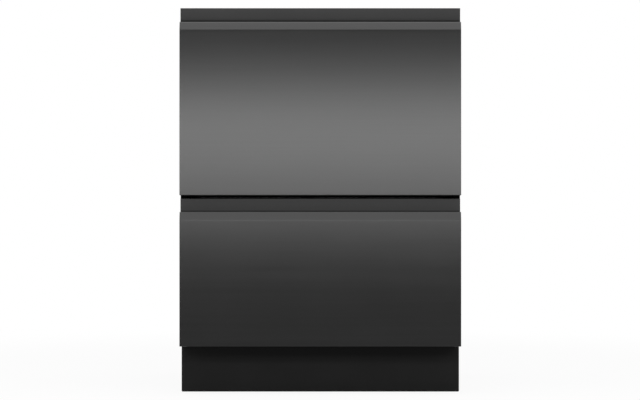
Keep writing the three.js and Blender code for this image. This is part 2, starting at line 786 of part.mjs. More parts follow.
// ---- Assembly ----
function addCabinet(group) {
  const f = finishes;
  piece(group, "left_side_panel", sidePanel(-1), f.zincSteel);
  piece(group, "right_side_panel", sidePanel(1), f.zincSteel);
  piece(group, "top_rear_cover", topRearCover(), f.zincSteel);
  piece(group, "base_pan", basePan(), f.zincSteel);
  piece(group, "kick_plinth", kickPlinth(), f.blackPaint);
  piece(group, "middle_crossbar", middleCrossbar(), f.blackPaint);
  piece(group, "hose_ports", hosePorts(), f.blackPlastic, portsX, 0, portsBottom);
  for (const [name, x, y] of footPlaces()) piece(group, name, foot(), f.blackPlastic, x, y, 0);
}

function addLid(group, d) {
  const f = finishes;
  const under = d.lidTop - lidThick;
  piece(group, `${d.name}_lid`, lid(), f.lidPlastic, 0, tubMiddle, under);
  piece(group, `${d.name}_lid_seal`, lidSeal(), f.rubber, 0, tubMiddle, under - gap - sealHeight);
}

function addSlides(group, d) {
  const step = slideWall + slidePlay; // from one member's face to the next member's
  const middleHeight = slideHeight - 2 * step;
  const innerHeight = middleHeight - 2 * step;
  const middleX = sideInner - step;
  const innerX = middleX - step;
  const middle = slideMember(middleX, middleX - slideInnerFace - slidePlay, middleHeight, d.slideZ);
  const inner = slideMember(innerX, innerX - slideInnerFace, innerHeight, d.slideZ, true);
  for (const [word, side] of [["left", -1], ["right", 1]]) {
    piece(group, `${d.name}_slide_middle_${word}`, onSide(side, middle), finishes.zincSteel);
    piece(group, `${d.name}_slide_inner_${word}`, onSide(side, inner), finishes.zincSteel);
  }
}

function addDoor(group, d) {
  const f = finishes;
  const frontHeight = d.frontTop - d.frontBottom;
  piece(group, `${d.name}_front_skin`, frontSkin(frontHeight), f.blackSteel, 0, 0, d.frontBottom);
  piece(group, `${d.name}_handle_recess`, handleRecess(d.frontTop, d.bandTop), f.blackSteel);
  piece(group, `${d.name}_inner_door`, innerDoor(d), f.greyPlastic, 0, 0, d.frontBottom);
  buttonNames.forEach((name, i) => {
    const z = d.bandTop - controlDrop;
    piece(group, `${d.name}_${name}_button`, button(), f.greyPlastic, buttonPlaces[i], buttonLine, z);
  });
}

function addDispenser(group, d) {
  const wallInside = tubFront + tubWall;
  const z = d.rimTop - dispenserDrop - dispenserHeight / 2;
  const face = wallInside + dispenserFlange + gap;
  piece(group, `${d.name}_dispenser`, dispenser(), finishes.greyPlastic, 0, wallInside, z);
  piece(group, `${d.name}_dispenser_door`, dispenserDoor(), finishes.greyPlastic, 0, face, z);
  piece(group, `${d.name}_rinse_cap`, rinseCap(), finishes.blackPlastic, capX, face, z);
}

function addRack(group, d, middleY, base) {
  const coat = finishes.rackCoat;
  const [sideX, endY] = [(rackWidth - wire) / 2, (rackLength - wire) / 2];
  const end = rackSide(rackWidth, false);
  const side = rackSide(rackLength - 2 * (wire + gap), true).rotate([0, 0, 90]);
  piece(group, `${d.name}_rack_base`, rackBase(), coat, 0, middleY, base);
  piece(group, `${d.name}_rack_front`, end, coat, 0, middleY - endY, base);
  piece(group, `${d.name}_rack_rear`, end, coat, 0, middleY + endY, base);
  piece(group, `${d.name}_rack_left`, side, coat, -sideX, middleY, base);
  piece(group, `${d.name}_rack_right`, side, coat, sideX, middleY, base);
}

function addTub(group, d) {
  const f = finishes;
  const middleY = tubMiddle + rackMiddle;
  const base = d.floor + rackLift;
  const tineZ = base + wire + gap + tineRod / 2;
  const underTub = d.floor - tubFloor - gap;
  piece(group, `${d.name}_tub`, tub(d), f.tubPlastic, 0, tubMiddle, d.rimTop);
  piece(group, `${d.name}_wash_motor`, washMotor(d.motorHeight), f.blackPlastic, 0, tubMiddle, underTub);
  piece(group, `${d.name}_filter_plate`, filterPlate(), f.brightSteel, 0, tubMiddle, d.floor - filterThick);
  piece(group, `${d.name}_spray_arm`, sprayArm(), f.greyPlastic, 0, tubMiddle, d.floor + hubHeight + gap);
  addRack(group, d, middleY, base);
  piece(group, `${d.name}_fold_tines`, foldTines(), f.rackCoat, 0, middleY + tineBack, tineZ);
  if (d.hasBasket) {
    const basketY = tubMiddle + rackFront + wire + basketRoom + basketDepth / 2;
    const basketZ = base + 1.5 * wire + gap;
    piece(group, `${d.name}_cutlery_basket`, cutleryBasket(), f.greyPlastic, basketAcross, basketY, basketZ);
  }
}

const dishwasher = new THREE.Group();
dishwasher.position.set(0, -overallDepth / 2, 0);
addCabinet(dishwasher);
for (const d of drawers) {
  const drawer = new THREE.Group();
  dishwasher.add(drawer);
  addLid(dishwasher, d);
  addSlides(drawer, d);
  addDoor(drawer, d);
  addTub(drawer, d);
  addDispenser(drawer, d);
}

const part = new THREE.Group();
part.add(dishwasher);
export default part;
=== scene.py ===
"""Looks of a built-in dishwasher with two pull-out drawers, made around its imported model.

Lengths are in millimetres until make() turns them into metres. x runs across the front, y from the drawer
fronts to the rear, z up from the floor. A depth is counted from the face of the fronts.
"""
import math

import bmesh
import bpy
import numpy as np
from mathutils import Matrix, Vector


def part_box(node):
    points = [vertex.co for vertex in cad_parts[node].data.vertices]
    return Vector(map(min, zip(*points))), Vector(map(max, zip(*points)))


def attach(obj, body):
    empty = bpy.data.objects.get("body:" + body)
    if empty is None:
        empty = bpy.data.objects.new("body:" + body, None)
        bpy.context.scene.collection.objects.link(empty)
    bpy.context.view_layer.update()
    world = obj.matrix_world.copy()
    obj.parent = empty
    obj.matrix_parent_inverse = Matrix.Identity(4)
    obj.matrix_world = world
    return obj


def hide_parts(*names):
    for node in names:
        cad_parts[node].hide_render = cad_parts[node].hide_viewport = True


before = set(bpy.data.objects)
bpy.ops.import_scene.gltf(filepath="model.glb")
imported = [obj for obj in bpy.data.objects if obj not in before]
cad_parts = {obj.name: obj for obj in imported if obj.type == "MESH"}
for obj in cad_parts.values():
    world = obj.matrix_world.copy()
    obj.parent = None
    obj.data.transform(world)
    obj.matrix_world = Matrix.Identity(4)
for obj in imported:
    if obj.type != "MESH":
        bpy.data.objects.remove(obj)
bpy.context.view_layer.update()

MM = 0.001
QUARTER = math.pi / 2
DRAWERS = ("upper", "lower")
SIDES = {"left": -1, "right": 1}
CORNERS = [(-1, -1), (-1, 1), (1, -1), (1, 1)]
FEET = ("foot_front_left", "foot_front_right", "foot_rear_left", "foot_rear_right")


def place(node):
    """Lowest and highest corner of a node of the frame, in millimetres."""
    low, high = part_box(node)
    return np.array(low) / MM, np.array(high) / MM


FRONT = -286.5  # y of the face of the drawer fronts
MIDDLE = FRONT + 303.75  # y of the middle of tubs and lids
PANEL = 298.0  # x of the outer face of a side panel
SHEET = 1.2
LIP_TOP = {w: place(f"{w}_front_skin")[1][2] for w in DRAWERS}
STRIP_TOP = {w: place(f"{w}_handle_recess")[1][2] - 6 for w in DRAWERS}  # top of the control strip
SLIDE = {w: sum(place(f"{w}_slide_inner_right"))[2] / 2 for w in DRAWERS}  # middle height of the slides
RIM = {w: place(f"{w}_tub")[1][2] for w in DRAWERS}  # top of the tub
FLOOR = {w: place(f"{w}_tub")[0][2] + 7 for w in DRAWERS}  # inside of the tub


# ---- Surfaces ----
class Surface:
    """Points and faces gathered from grids, lids and strips."""

    def __init__(self):
        self.points = []
        self.faces = []
        self.count = 0

    def add(self, points):
        """Takes an array of points and gives the number of each one."""
        flat = np.asarray(points, float).reshape(-1, 3)
        index = np.arange(len(flat)).reshape(np.shape(points)[:-1]) + self.count
        self.points.append(flat)
        self.count += len(flat)
        return index

    def quads(self, index, around=False, along=False, keep=None):
        """Four neighbours in a grid of point numbers make a face; around and along close the grid."""
        if around:
            index = np.concatenate([index, index[:, :1]], 1)
        if along:
            index = np.concatenate([index, index[:1]], 0)
        faces = np.stack([index[:-1, :-1], index[:-1, 1:], index[1:, 1:], index[1:, :-1]], -1)
        self.faces += (faces.reshape(-1, 4) if keep is None else faces[keep]).tolist()

    def grid(self, points, around=False, along=False, keep=None):
        index = self.add(points)
        self.quads(index, around, along, keep)
        return index

    def closed(self, rings, first=True, last=True, keep=None):
        """Rings of points joined in order, with a face over the first and the last one."""
        index = self.grid(rings, around=True, keep=keep)
        self.faces += [index[end].tolist() for end, lid in ((0, first), (-1, last)) if lid]
        return index

    def hoop(self, rings):
        """Rings of points joined in order, and the last one to the first."""
        self.grid(rings, around=True, along=True)

    def folded(self, sections):
        """A sheet's section from band() at each station, with a strip of faces over either end."""
        index = self.grid(sections, around=True)
        half = index.shape[1] // 2
        for end in (index[0], index[-1]):
            self.quads(np.stack([end[:half], end[half:][::-1]]))


def mesh_of(name, surface):
    mesh = bpy.data.meshes.new(name)
    mesh.from_pydata((np.concatenate(surface.points) * MM).tolist(), [], surface.faces)
    return mesh


def show(name, data):
    thing = bpy.data.objects.new(name, data)
    bpy.context.scene.collection.objects.link(thing)
    return thing


def make(name, surface, finish, body, replaces=(), sharp=40, bevel=0.0, wall=0.0, offset=-1):
    """A surface as an object that rides on a body. A finish is a material and its usual slot; the slot is not
    used.

    wall gives an open sheet its thickness: inwards at an offset of -1, and half to each side at 0.
    """
    mesh = mesh_of(name, surface)
    work = bmesh.new()
    work.from_mesh(mesh)
    bmesh.ops.remove_doubles(work, verts=work.verts, dist=4e-6)
    bmesh.ops.recalc_face_normals(work, faces=work.faces)
    bmesh.ops.delete(work, geom=[v for v in work.verts if not v.link_faces], context="VERTS")
    work.to_mesh(mesh)
    work.free()
    mesh.shade_smooth()
    mesh.set_sharp_from_angle(angle=math.radians(sharp))
    if wall:  # an edge with a face on one side only is crisp too
        sides = np.empty(len(mesh.loops), int)
        mesh.loops.foreach_get("edge_index", sides)
        crisp = np.empty(len(mesh.edges), bool)
        mesh.edges.foreach_get("use_edge_sharp", crisp)
        mesh.edges.foreach_set("use_edge_sharp", crisp | (np.bincount(sides, minlength=len(crisp)) == 1))
    mesh.materials.append(finish[0])
    thing = show(name, mesh)
    if wall:
        shell = thing.modifiers.new("wall", "SOLIDIFY")
        shell.thickness = wall * MM
        shell.offset = offset
    if bevel:
        edge = thing.modifiers.new("edge", "BEVEL")
        edge.width = bevel * MM
        edge.segments = 2
        edge.limit_method = "ANGLE"
        edge.angle_limit = math.radians(sharp)
        edge.harden_normals = True
    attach(thing, body)
    if replaces:
        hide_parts(*replaces)


# ---- Outlines and sections ----
def circle(count):
    """Cosine and sine of evenly spaced turns."""
    turn = np.arange(count) * 2 * math.pi / count
    return np.stack([np.cos(turn), np.sin(turn)], -1)


def fillet(radius, steps=4):
    """How far in and how far up a quarter circle is: r (1 - sin t) and r (1 - cos t)."""
    turn = np.linspace(0, QUARTER, steps + 1)
    return np.stack([radius * (1 - np.sin(turn)), radius * (1 - np.cos(turn))], -1)


def lifted(flat, z):
    """A flat line of points at a height."""
    return np.concatenate([flat, np.full((len(flat), 1), z)], 1)


def rounded(points, radius, steps=6, closed=False):
    """A line of straight runs, flat or in space, whose corners become arcs.

    Each corner gives way to the curve (1-t)^2 A + 2wt(1-t) C + t^2 B over the sum of its weights, an exact
    circle, where A and B lie on the two runs at the tangent length from the corner C.
    """
    points = np.asarray(points, float)
    count = len(points)
    radii = np.broadcast_to(np.asarray(radius, float), (count,))
    t = np.linspace(0, 1, steps + 1)[:, None]
    made = []
    for i, here in enumerate(points):
        back, ahead = points[i - 1] - here, points[(i + 1) % count] - here
        lengths = np.linalg.norm(back), np.linalg.norm(ahead)
        back, ahead = back / lengths[0], ahead / lengths[1]
        half = math.acos(float(np.clip(-back @ ahead, -1, 1))) / 2
        if radii[i] <= 0 or half < 1e-3 or (not closed and i in (0, count - 1)):
            made.append(here[None])
            continue
        reach = min(radii[i] * math.tan(half), 0.49 * min(lengths))
        a, b, c = (1 - t) ** 2, 2 * math.cos(half) * t * (1 - t), t**2
        made.append((a * (here + back * reach) + b * here + c * (here + ahead * reach)) / (a + b + c))
    return np.concatenate(made)


def band(line, thick):
    """The closed section of a sheet whose middle follows a line: the line moved half a thickness each way.

    It moves square to the mean direction of the runs at a point, by that half over the cosine of their turn.
    """
    runs = np.diff(line, axis=0)
    before, after = np.concatenate([runs[:1], runs]), np.concatenate([runs, runs[-1:]])
    unit = lambda v: v / np.linalg.norm(v, axis=-1, keepdims=True)
    left = lambda v: unit(np.stack([-v[:, 1], v[:, 0]], -1))
    square = left(unit(after) + unit(before))
    cosine = (square * left(after)).sum(-1, keepdims=True)
    shift = square / np.clip(cosine, 0.5, 1) * thick / 2
    return np.concatenate([line + shift, (line - shift)[::-1]])


def loop(width, length, radius, steps=8):
    """A rectangle with round corners about the origin, anticlockwise from its right side."""
    x, y, r = width / 2, length / 2, max(radius, 0.01)
    angle = (np.arange(4)[:, None] * QUARTER + np.linspace(0, QUARTER, steps + 1)).ravel()
    sx, sy = np.repeat([[1, -1, -1, 1], [1, 1, -1, -1]], steps + 1, 1)
    return np.stack([sx * (x - r) + r * np.cos(angle), sy * (y - r) + r * np.sin(angle)], -1)


def rings(rows, centre=(0, 0), steps=8):
    """Round rectangles at heights: each row is a width, a length, a corner radius and a height."""
    return np.stack([lifted(loop(width, length, r, steps) + centre, z) for width, length, r, z in rows])


def drawn(width, length, corner, rows, centre=(0, 0), steps=8):
    """Round rectangles drawn in from an outline: each row is how far in it is, and its height."""
    rows = [(width - 2 * i, length - 2 * i, max(corner - i, 0.05), z) for i, z in rows]
    return rings(rows, centre, steps)


def upright(rows, z, seat):
    """Round rectangles that stand about a height: each row is a width, height, corner radius and depth."""
    flat = rings(rows, (0, z), 5)
    return np.stack([flat[..., 0], seat + flat[..., 2], flat[..., 1]], -1)


def turned(profile, centre=(0, MIDDLE, 0), count=32, axis=2, ribs=1, ribbed=slice(0)):
    """A profile of radius and height, turned about an axis through the centre.

    ribs are factors round the axis for the radius of the ribbed rows.
    """
    profile = np.asarray(profile, float)
    reach = np.repeat(profile[:, :1], count, 1)
    reach[ribbed] *= ribs
    around = circle(count)
    made = np.empty((len(profile), count, 3))
    made[..., (axis + 1) % 3] = reach * around[:, 0]
    made[..., (axis + 2) % 3] = reach * around[:, 1]
    made[..., axis] = profile[:, 1:]
    return made + np.asarray(centre, float)


def swept(section, stations, axis=0):
    """An upright section, carried along x (axis 0) or y (axis 1) through the stations."""
    made = np.empty((len(stations), len(section), 3))
    made[..., 1 - axis] = section[:, 0]
    made[..., 2] = section[:, 1]
    made[..., axis] = np.asarray(stations, float)[:, None]
    return made


def tube(path, radius, sides=8, closed=False):
    """Circles square to a path, each turned from the one before by the smallest turn."""
    path = np.asarray(path, float)
    along = np.roll(path, -1, 0) - np.roll(path, 1, 0) if closed else np.gradient(path, axis=0)
    along /= np.linalg.norm(along, axis=1, keepdims=True)
    side = np.cross(along[0], [0.31, 0.17, 0.94])
    first = []
    for direction in along:
        side = side - direction * (side @ direction)
        side = side / np.linalg.norm(side)
        first.append(side)
    first, second = np.array(first)[:, None], np.cross(along, first)[:, None]
    around = circle(sides)
    reach = np.broadcast_to(np.asarray(radius, float), (len(path),))[:, None, None]
    return path[:, None] + reach * (around[:, :1] * first + around[:, 1:] * second)


def wire(surface, path, radius, sides=8, closed=False):
    """A round wire along a path, with its ends closed or joined."""
    (surface.hoop if closed else surface.closed)(tube(path, radius, sides, closed))


def slab(surface, low, high, radius=0.6, corner=2.0, steps=3):
    """A block between two corners: round rectangles drawn in by r - r sin t at the height r - r cos t."""
    (x0, y0, z0), (x1, y1, z1) = np.minimum(low, high), np.maximum(low, high)
    edge = fillet(radius, steps)
    rows = [(i, z0 + rise) for i, rise in edge] + [(i, z1 - rise) for i, rise in edge[::-1]]
    surface.closed(drawn(x1 - x0, y1 - y0, corner, rows, ((x0 + x1) / 2, (y0 + y1) / 2), 4))


def screw(surface, centre, axis=1, out=-1, radius=4.0, height=1.3):
    """A pan head: a low dome with a six-lobed socket, drawn as radii 1 + 0.14 cos 6t inside a ring."""
    rows = [(1, 0), (1, 0.35), (0.93, 0.7), (0.75, 0.93), (0.48, 1), (0.4, 1), (0.37, 0.35), (0, 0.3)]
    lobes = 1 + 0.14 * np.cos(np.arange(24) * QUARTER)
    head = turned(np.multiply(rows, (radius, out * height)), centre, 24, axis, lobes, slice(5, 7))
    surface.closed(head, last=False)


def screws(name, body, heads):
    """One piece of screw heads: each is a centre, an axis, the way it faces, a radius and a height."""
    surface = Surface()
    for head in heads:
        screw(surface, *head)
    make(name, surface, STAINLESS, body)


def step(t):
    """3t^2 - 2t^3, held at 0 below 0 and at 1 above 1."""
    t = np.clip(t, 0, 1)
    return t * t * (3 - 2 * t)


def pressed(a, b, low, high, corner, soft):
    """1 inside a round rectangle, 0 outside, with a slope of the given width inside its edge.

    The distance to the edge is the length of the part of |p - middle| - (half - corner) above 0, less corner.
    """
    middle, half = np.add(low, high) / 2, np.subtract(high, low) / 2
    over_a = np.abs(a - middle[0]) - (half[0] - corner)
    over_b = np.abs(b - middle[1]) - (half[1] - corner)
    outside = np.hypot(np.maximum(over_a, 0), np.maximum(over_b, 0))
    away = outside + np.minimum(np.maximum(over_a, over_b), 0) - corner
    return step(-away / soft)


def swage(a, b, low, high, inset, corners, soft):
    """1 between a round rectangle and a smaller one inside it, and 0 elsewhere."""
    outer = pressed(a, b, low, high, corners[0], soft)
    return outer - pressed(a, b, np.add(low, inset), np.subtract(high, inset), corners[1], soft)


def lines(low, high, pitch, marks=(), near=(0.0,)):
    """Evenly spaced lines, and extra lines beside each mark."""
    even = np.linspace(low, high, max(2, int(round((high - low) / pitch)) + 1))
    extra = [m + sign * n for m in marks for n in near for sign in (-1, 1)]
    every = np.unique(np.round(np.concatenate([even, [m for m in extra if low <= m <= high]]), 3))
    return every[np.concatenate([[True], np.diff(every) > 0.35])]


def uneven(low, high, solid, hole):
    """Lines that go by turns a bar's width and a hole's width from end to end, with a bar at both ends."""
    count = max(1, int((high - low - solid) // (solid + hole)))
    spare = (high - low - solid - count * (solid + hole)) / count
    return low + np.concatenate([[0], np.cumsum([solid, hole + spare] * count + [solid])])


def cells(rows, columns):
    """A mask that keeps every cell of a grid on two sets of lines, and the middles of the cells both ways."""
    middle = lambda v: (v[1:] + v[:-1]) / 2
    return np.ones((len(rows) - 1, len(columns) - 1), bool), middle(rows), middle(columns)


# ---- Finishes ----
class Value:
    """A socket of a node, with sums and products that add their own nodes."""

    def __init__(self, tree, socket):
        self.tree = tree
        self.socket = socket

    def of(self, operation, first, second):
        return self.tree.node("ShaderNodeMath", {"operation": operation}, {0: first, 1: second})

    def __add__(self, other):
        return self.of("ADD", self, other)

    def __radd__(self, other):
        return self.of("ADD", other, self)

    def __sub__(self, other):
        return self.of("SUBTRACT", self, other)

    def __rsub__(self, other):
        return self.of("SUBTRACT", other, self)

    def __mul__(self, other):
        return self.of("MULTIPLY", self, other)

    def __rmul__(self, other):
        return self.of("MULTIPLY", other, self)

    def ramp(self, start, end, low=0.0, high=1.0):
        """The low value up to the start and the high one from the end on, with a smooth step between them."""
        ends = {0: self, 1: start, 2: end, 3: low, 4: high}
        return self.tree.node("ShaderNodeMapRange", {"interpolation_type": "SMOOTHSTEP"}, ends)

    def over(self, limit, soft):
        """0 below the limit and 1 above it, with a soft step."""
        return self.ramp(limit - soft, limit + soft)


class Tree:
    """The nodes of a material or of the world."""

    def __init__(self, owner):
        owner.use_nodes = True
        self.nodes = owner.node_tree.nodes
        self.links = owner.node_tree.links

    def node(self, kind, settings=None, inputs=None, output=0):
        """Any node: its settings first, then values or links for its sockets."""
        node = self.nodes.new(kind)
        for setting, value in (settings or {}).items():
            setattr(node, setting, value)
        for socket, value in (inputs or {}).items():
            self.feed(node.inputs[socket], value)
        return Value(self, node.outputs[output]) if node.outputs else None

    def feed(self, socket, value):
        if isinstance(value, Value):
            self.links.new(value.socket, socket)
        else:
            socket.default_value = value

    def ray(self, kind):
        return self.node("ShaderNodeLightPath", output=f"Is {kind} Ray")


class Finish(Tree):
    """A material with one shader."""

    def __init__(self, name, **shader):
        self.material = bpy.data.materials.new(name)
        super().__init__(self.material)
        self.shader = self.nodes["Principled BSDF"]
        self.where = self.node("ShaderNodeTexCoord", output="Object")
        for socket, value in shader.items():
            self.shader.inputs[socket.replace("_", " ")].default_value = value

    def noise(self, scale=1.0, detail=2.0, stretch=None, rough=0.5):
        """Smooth noise on the piece, with each axis scaled where a stretch is given."""
        where = self.where
        if stretch is not None:
            where = self.node("ShaderNodeMapping", None, {"Vector": where, "Scale": stretch})
        ends = {"Vector": where, "Scale": scale, "Detail": detail, "Roughness": rough}
        return self.node("ShaderNodeTexNoise", None, ends)

    def cells(self, scale):
        """Random grey of each cell of a crystal pattern."""
        picked = self.node("ShaderNodeTexVoronoi", None, {"Vector": self.where, "Scale": scale}, "Color")
        return self.node("ShaderNodeSeparateColor", None, {0: picked})

    def colour(self, share, first, second):
        """A colour between two colours."""
        ends = {0: share, 6: (*first, 1), 7: (*second, 1)}
        made = self.node("ShaderNodeMix", {"data_type": "RGBA"}, ends, 2)
        self.feed(self.shader.inputs["Base Color"], made)

    def roughness(self, value):
        self.feed(self.shader.inputs["Roughness"], value)

    def bump(self, height, strength, distance=0.00012):
        ends = {"Height": height, "Strength": strength, "Distance": distance}
        self.feed(self.shader.inputs["Normal"], self.node("ShaderNodeBump", None, ends))


def brushed(name, dark, light, rough, spread, along=(3, 420, 420), strength=0.12):
    """Brushed metal: fine streaks across the piece in colour, gloss and height."""
    made = Finish(name, Metallic=1.0)
    fine = made.noise(1, 4, along, 0.65)
    broad = made.noise(1, 2, tuple(step / 6 for step in along))
    cloud = made.noise(7, 3)
    made.colour(0.55 * fine + 0.3 * broad + 0.15 * cloud, dark, light)
    made.roughness(rough + spread * (fine + 0.5 * broad + 0.5 * cloud - 1.0))
    made.bump(fine + 0.6 * broad, strength)
    return made.material


def moulded(name, dark, light, rough, grain=900.0, strength=0.25, **shader):
    """Moulded plastic: a fine grain, faint flow lines and slightly uneven gloss."""
    made = Finish(name, **shader)
    fine = made.noise(grain, 2)
    flow = made.noise(9, 4, None, 0.6)
    made.colour(0.3 * fine + 0.7 * flow, dark, light)
    made.roughness(rough - 0.08 + 0.1 * flow + 0.06 * fine)
    made.bump(fine + 0.15 * flow, strength)
    return made.material


def galvanised(name, dark, light, rough):
    """Zinc-coated sheet: crystals of differing grey and gloss, with fine pits."""
    made = Finish(name, Metallic=1.0)
    crystal = made.cells(95)
    small = made.cells(260)
    pits = made.noise(700, 3)
    made.colour(0.5 * crystal + 0.3 * small + 0.2 * pits, dark, light)
    made.roughness(rough - 0.09 + 0.14 * crystal + 0.08 * pits)
    made.bump(0.4 * crystal + 0.6 * pits, 0.15, 0.0001)
    return made.material


def baked(name, dark, light, rough, share):
    """A baked coat: orange peel in its height, faint clouds in its gloss, and its colour by share()."""
    made = Finish(name, Specular_IOR_Level=0.3)
    peel = made.noise(330, 2)
    cloud = made.noise(14, 3)
    made.colour(share(made, peel, cloud), dark, light)
    made.roughness(rough - 0.05 + 0.1 * cloud)
    made.bump(peel, 0.2, 0.0003)
    return made.material


def clouded(made, peel, cloud):
    """Share of a paint's colour."""
    return 0.6 * cloud + 0.4 * peel


def painted_band_shade_and_light(made, peel, cloud):
    """Share of a band's colour, with painted shade and painted light: darkest where a lip stands close in
    front of it, and paler towards its top.

    Both are steps in height from the lip: near, the painted shade, is 1 up to the lip's top, and climb, the
    painted light, rises from 0 to 1 above it.
    """
    height = made.node("ShaderNodeSeparateXYZ", None, {0: made.where}, 2)
    near = climb = 0.0
    for lip in (LIP_TOP["upper"] + 2.0, LIP_TOP["lower"]):
        near = near + (height.over((lip - 60) * MM, 0.002) - height.over((lip + 3) * MM, 0.002))
        climb = climb + (height.over((lip + 15) * MM, 0.013) - height.over((lip + 45) * MM, 0.002))
    # the band's colour falls with the painted shade near each lip and rises with the painted light towards
    # its top
    return (0.72 + 0.17 * cloud + 0.11 * peel) * (0.78 + 0.23 * climb - 0.7 * near)


def grey(level, warmth=0.0):
    return (level * (1 + warmth), level, level * (1 - warmth))


BLACK_STEEL = brushed("black_brushed_steel", grey(0.084), grey(0.100), 0.30, 0.05), "black_steel"
STEEL = brushed("stainless_steel", grey(0.48, 0.01), grey(0.62, 0.01), 0.26, 0.1, [160] * 3, 0.2)
BRIGHT, STAINLESS = (STEEL, "bright_steel"), (STEEL, "zinc_steel")
ZINC = galvanised("galvanised_steel", grey(0.36, -0.01), grey(0.52, -0.01), 0.42), "zinc_steel"
PAINT = baked("black_paint", grey(0.008), grey(0.013), 0.42, clouded), "black_paint"
# this colour holds painted shade just above each lip and painted light towards each band's top
DARK_BAND = baked("black_band_painted_shade_and_light", grey(0.010), grey(0.051), 0.5, painted_band_shade_and_light), "black_steel"
# near-zero black on black-painted parts, darker than their paint, that paints the shade seen through the gaps
# between the fronts
DARKEST = grey(0.0015), grey(0.0025)
GAP_SHADE_BLACK = moulded("gap_black_painted_shade", *DARKEST, 0.85, Specular_IOR_Level=0.04), "black_plastic"
BLACK_PLASTIC = moulded("black_plastic", grey(0.010), grey(0.016), 0.45), "black_plastic"
GLOSS_BLACK = moulded("gloss_black_strip", grey(0.004), grey(0.006), 0.12, 300, 0.02), "grey_plastic"
GREY_PLASTIC = moulded("grey_plastic", grey(0.24, -0.01), grey(0.29, -0.01), 0.46), "grey_plastic"
TUB_PLASTIC = moulded("tub_plastic", grey(0.42, -0.01), grey(0.48, -0.01), 0.40), "tub_plastic"
LID_PLASTIC = moulded("lid_plastic", grey(0.52, -0.005), grey(0.58, -0.005), 0.46), "lid_plastic"
RUBBER = moulded("seal_rubber", grey(0.020), grey(0.030), 0.72, 1400, 0.4), "rubber"
LAMP = moulded("lamp_and_symbol", grey(0.52), grey(0.6), 0.4, 900, 0.1), "grey_plastic"
RACK_COAT = moulded("nylon_coat", grey(0.19, -0.01), grey(0.23, -0.01), 0.38, 1200, 0.3), "rack_coat"


# ---- Camera, lamps and floor ----
STUDIO_DARK = 0.04  # of white, behind the camera
STUDIO_FILL = 0.55  # of white, for the soft light from all round
FLOOR_GLOW = 0.90  # of the floor's white that is its own, under the machine
FLOOR_MIRRORED = 0.02  # of white, where a shiny piece shows the floor


def add_camera():
    lens = bpy.data.cameras.new("camera")
    lens.lens = 119.115
    lens.sensor_width = 36
    camera = show("camera", lens)
    camera.location = (-0.00064, FRONT * MM - 4.5, 0.4135)
    camera.rotation_euler = (QUARTER, 0, 0)
    bpy.context.scene.camera = camera


def add_lamp(name, centre, aim, width, height, power):
    """A soft box that the camera doesn't see."""
    lamp = bpy.data.lights.new(name, "AREA")
    lamp.shape = "RECTANGLE"
    lamp.size = width
    lamp.size_y = height
    lamp.energy = power
    box = show(name, lamp)
    box.location = centre
    box.rotation_euler = (Vector(aim) - Vector(centre)).to_track_quat("-Z", "Y").to_euler()
    box.visible_camera = False


def add_world():
    """White where the camera and clear or shiny pieces see it, but dim behind the camera, as in a studio."""
    world = bpy.data.worlds.new("studio")
    bpy.context.scene.world = world
    tree = Tree(world)
    tree.nodes.clear()
    where = tree.node("ShaderNodeTexCoord", output="Generated")
    behind = tree.node("ShaderNodeSeparateXYZ", None, {0: where}, "Y").ramp(-0.93, -0.5, STUDIO_DARK)
    sky = tree.node("ShaderNodeSeparateXYZ", None, {0: where}, "Z").ramp(0.36, 0.62)
    clear = tree.ray("Transmission")
    shiny = clear.of("MAXIMUM", tree.ray("Glossy"), clear)
    seen = clear.of("MAXIMUM", tree.ray("Camera"), clear)
    level = tree.node("ShaderNodeMix", None, {0: shiny, 2: STUDIO_FILL, 3: sky.of("MAXIMUM", behind, sky)})
    level = tree.node("ShaderNodeMix", None, {0: seen, 2: level, 3: 1.0})
    light = tree.node("ShaderNodeBackground", None, {"Color": (1, 1, 1, 1), "Strength": level})
    tree.node("ShaderNodeOutputWorld", None, {0: light})


def add_floor():
    """A round pale floor, clear from below.

    For the camera part of its white is its own, all of it at the rim, and the rest keeps the shadow.
    """
    made = Finish("studio_floor", Roughness=0.9, Specular_IOR_Level=0.0)
    seen = made.ray("Camera")
    made.colour(0.94 * seen + 0.06 * made.noise(40, 3), grey(0.32), grey(0.92))
    rim = made.node("ShaderNodeVectorMath", {"operation": "LENGTH"}, {0: made.where}, 1).over(1.5, 0.6)
    own = seen * (FLOOR_GLOW + (1 - FLOOR_GLOW) * rim) + made.ray("Glossy") * FLOOR_MIRRORED
    white = made.node("ShaderNodeEmission")
    lit = Value(made, made.shader.outputs[0])
    above = made.node("ShaderNodeMixShader", None, {0: own, 1: lit, 2: white})
    below = made.node("ShaderNodeNewGeometry", output="Backfacing")
    clear = made.node("ShaderNodeBsdfTransparent")
    both = made.node("ShaderNodeMixShader", None, {0: below, 1: above, 2: clear})
    made.feed(made.nodes["Material Output"].inputs[0], both)
    radii = np.array([0.0, 400.0, 800.0, 1200.0, 1700.0, 2300.0])
    disc = np.full((len(radii), 96, 3), -0.5)
    disc[..., :2] = radii[:, None, None] * circle(96)
    surface = Surface()
    surface.grid(disc[:, ::-1], around=True)
    mesh = mesh_of("floor", surface)
    mesh.materials.append(made.material)
    show("floor", mesh)


bpy.context.scene.view_settings.view_transform = "Standard"
add_camera()
add_world()
add_floor()
add_lamp("upper_strip", (0, FRONT * MM - 0.9, 0.61), (0, FRONT * MM, 0.61), 2.6, 0.13, 4.3)
add_lamp("lower_strip", (0, FRONT * MM - 0.9, 0.45), (0, FRONT * MM, 0.45), 2.6, 0.13, 2.35)
add_lamp("overhead", (0, -0.3, 2.6), (0, 0, 0.4), 2.4, 2.4, 26)


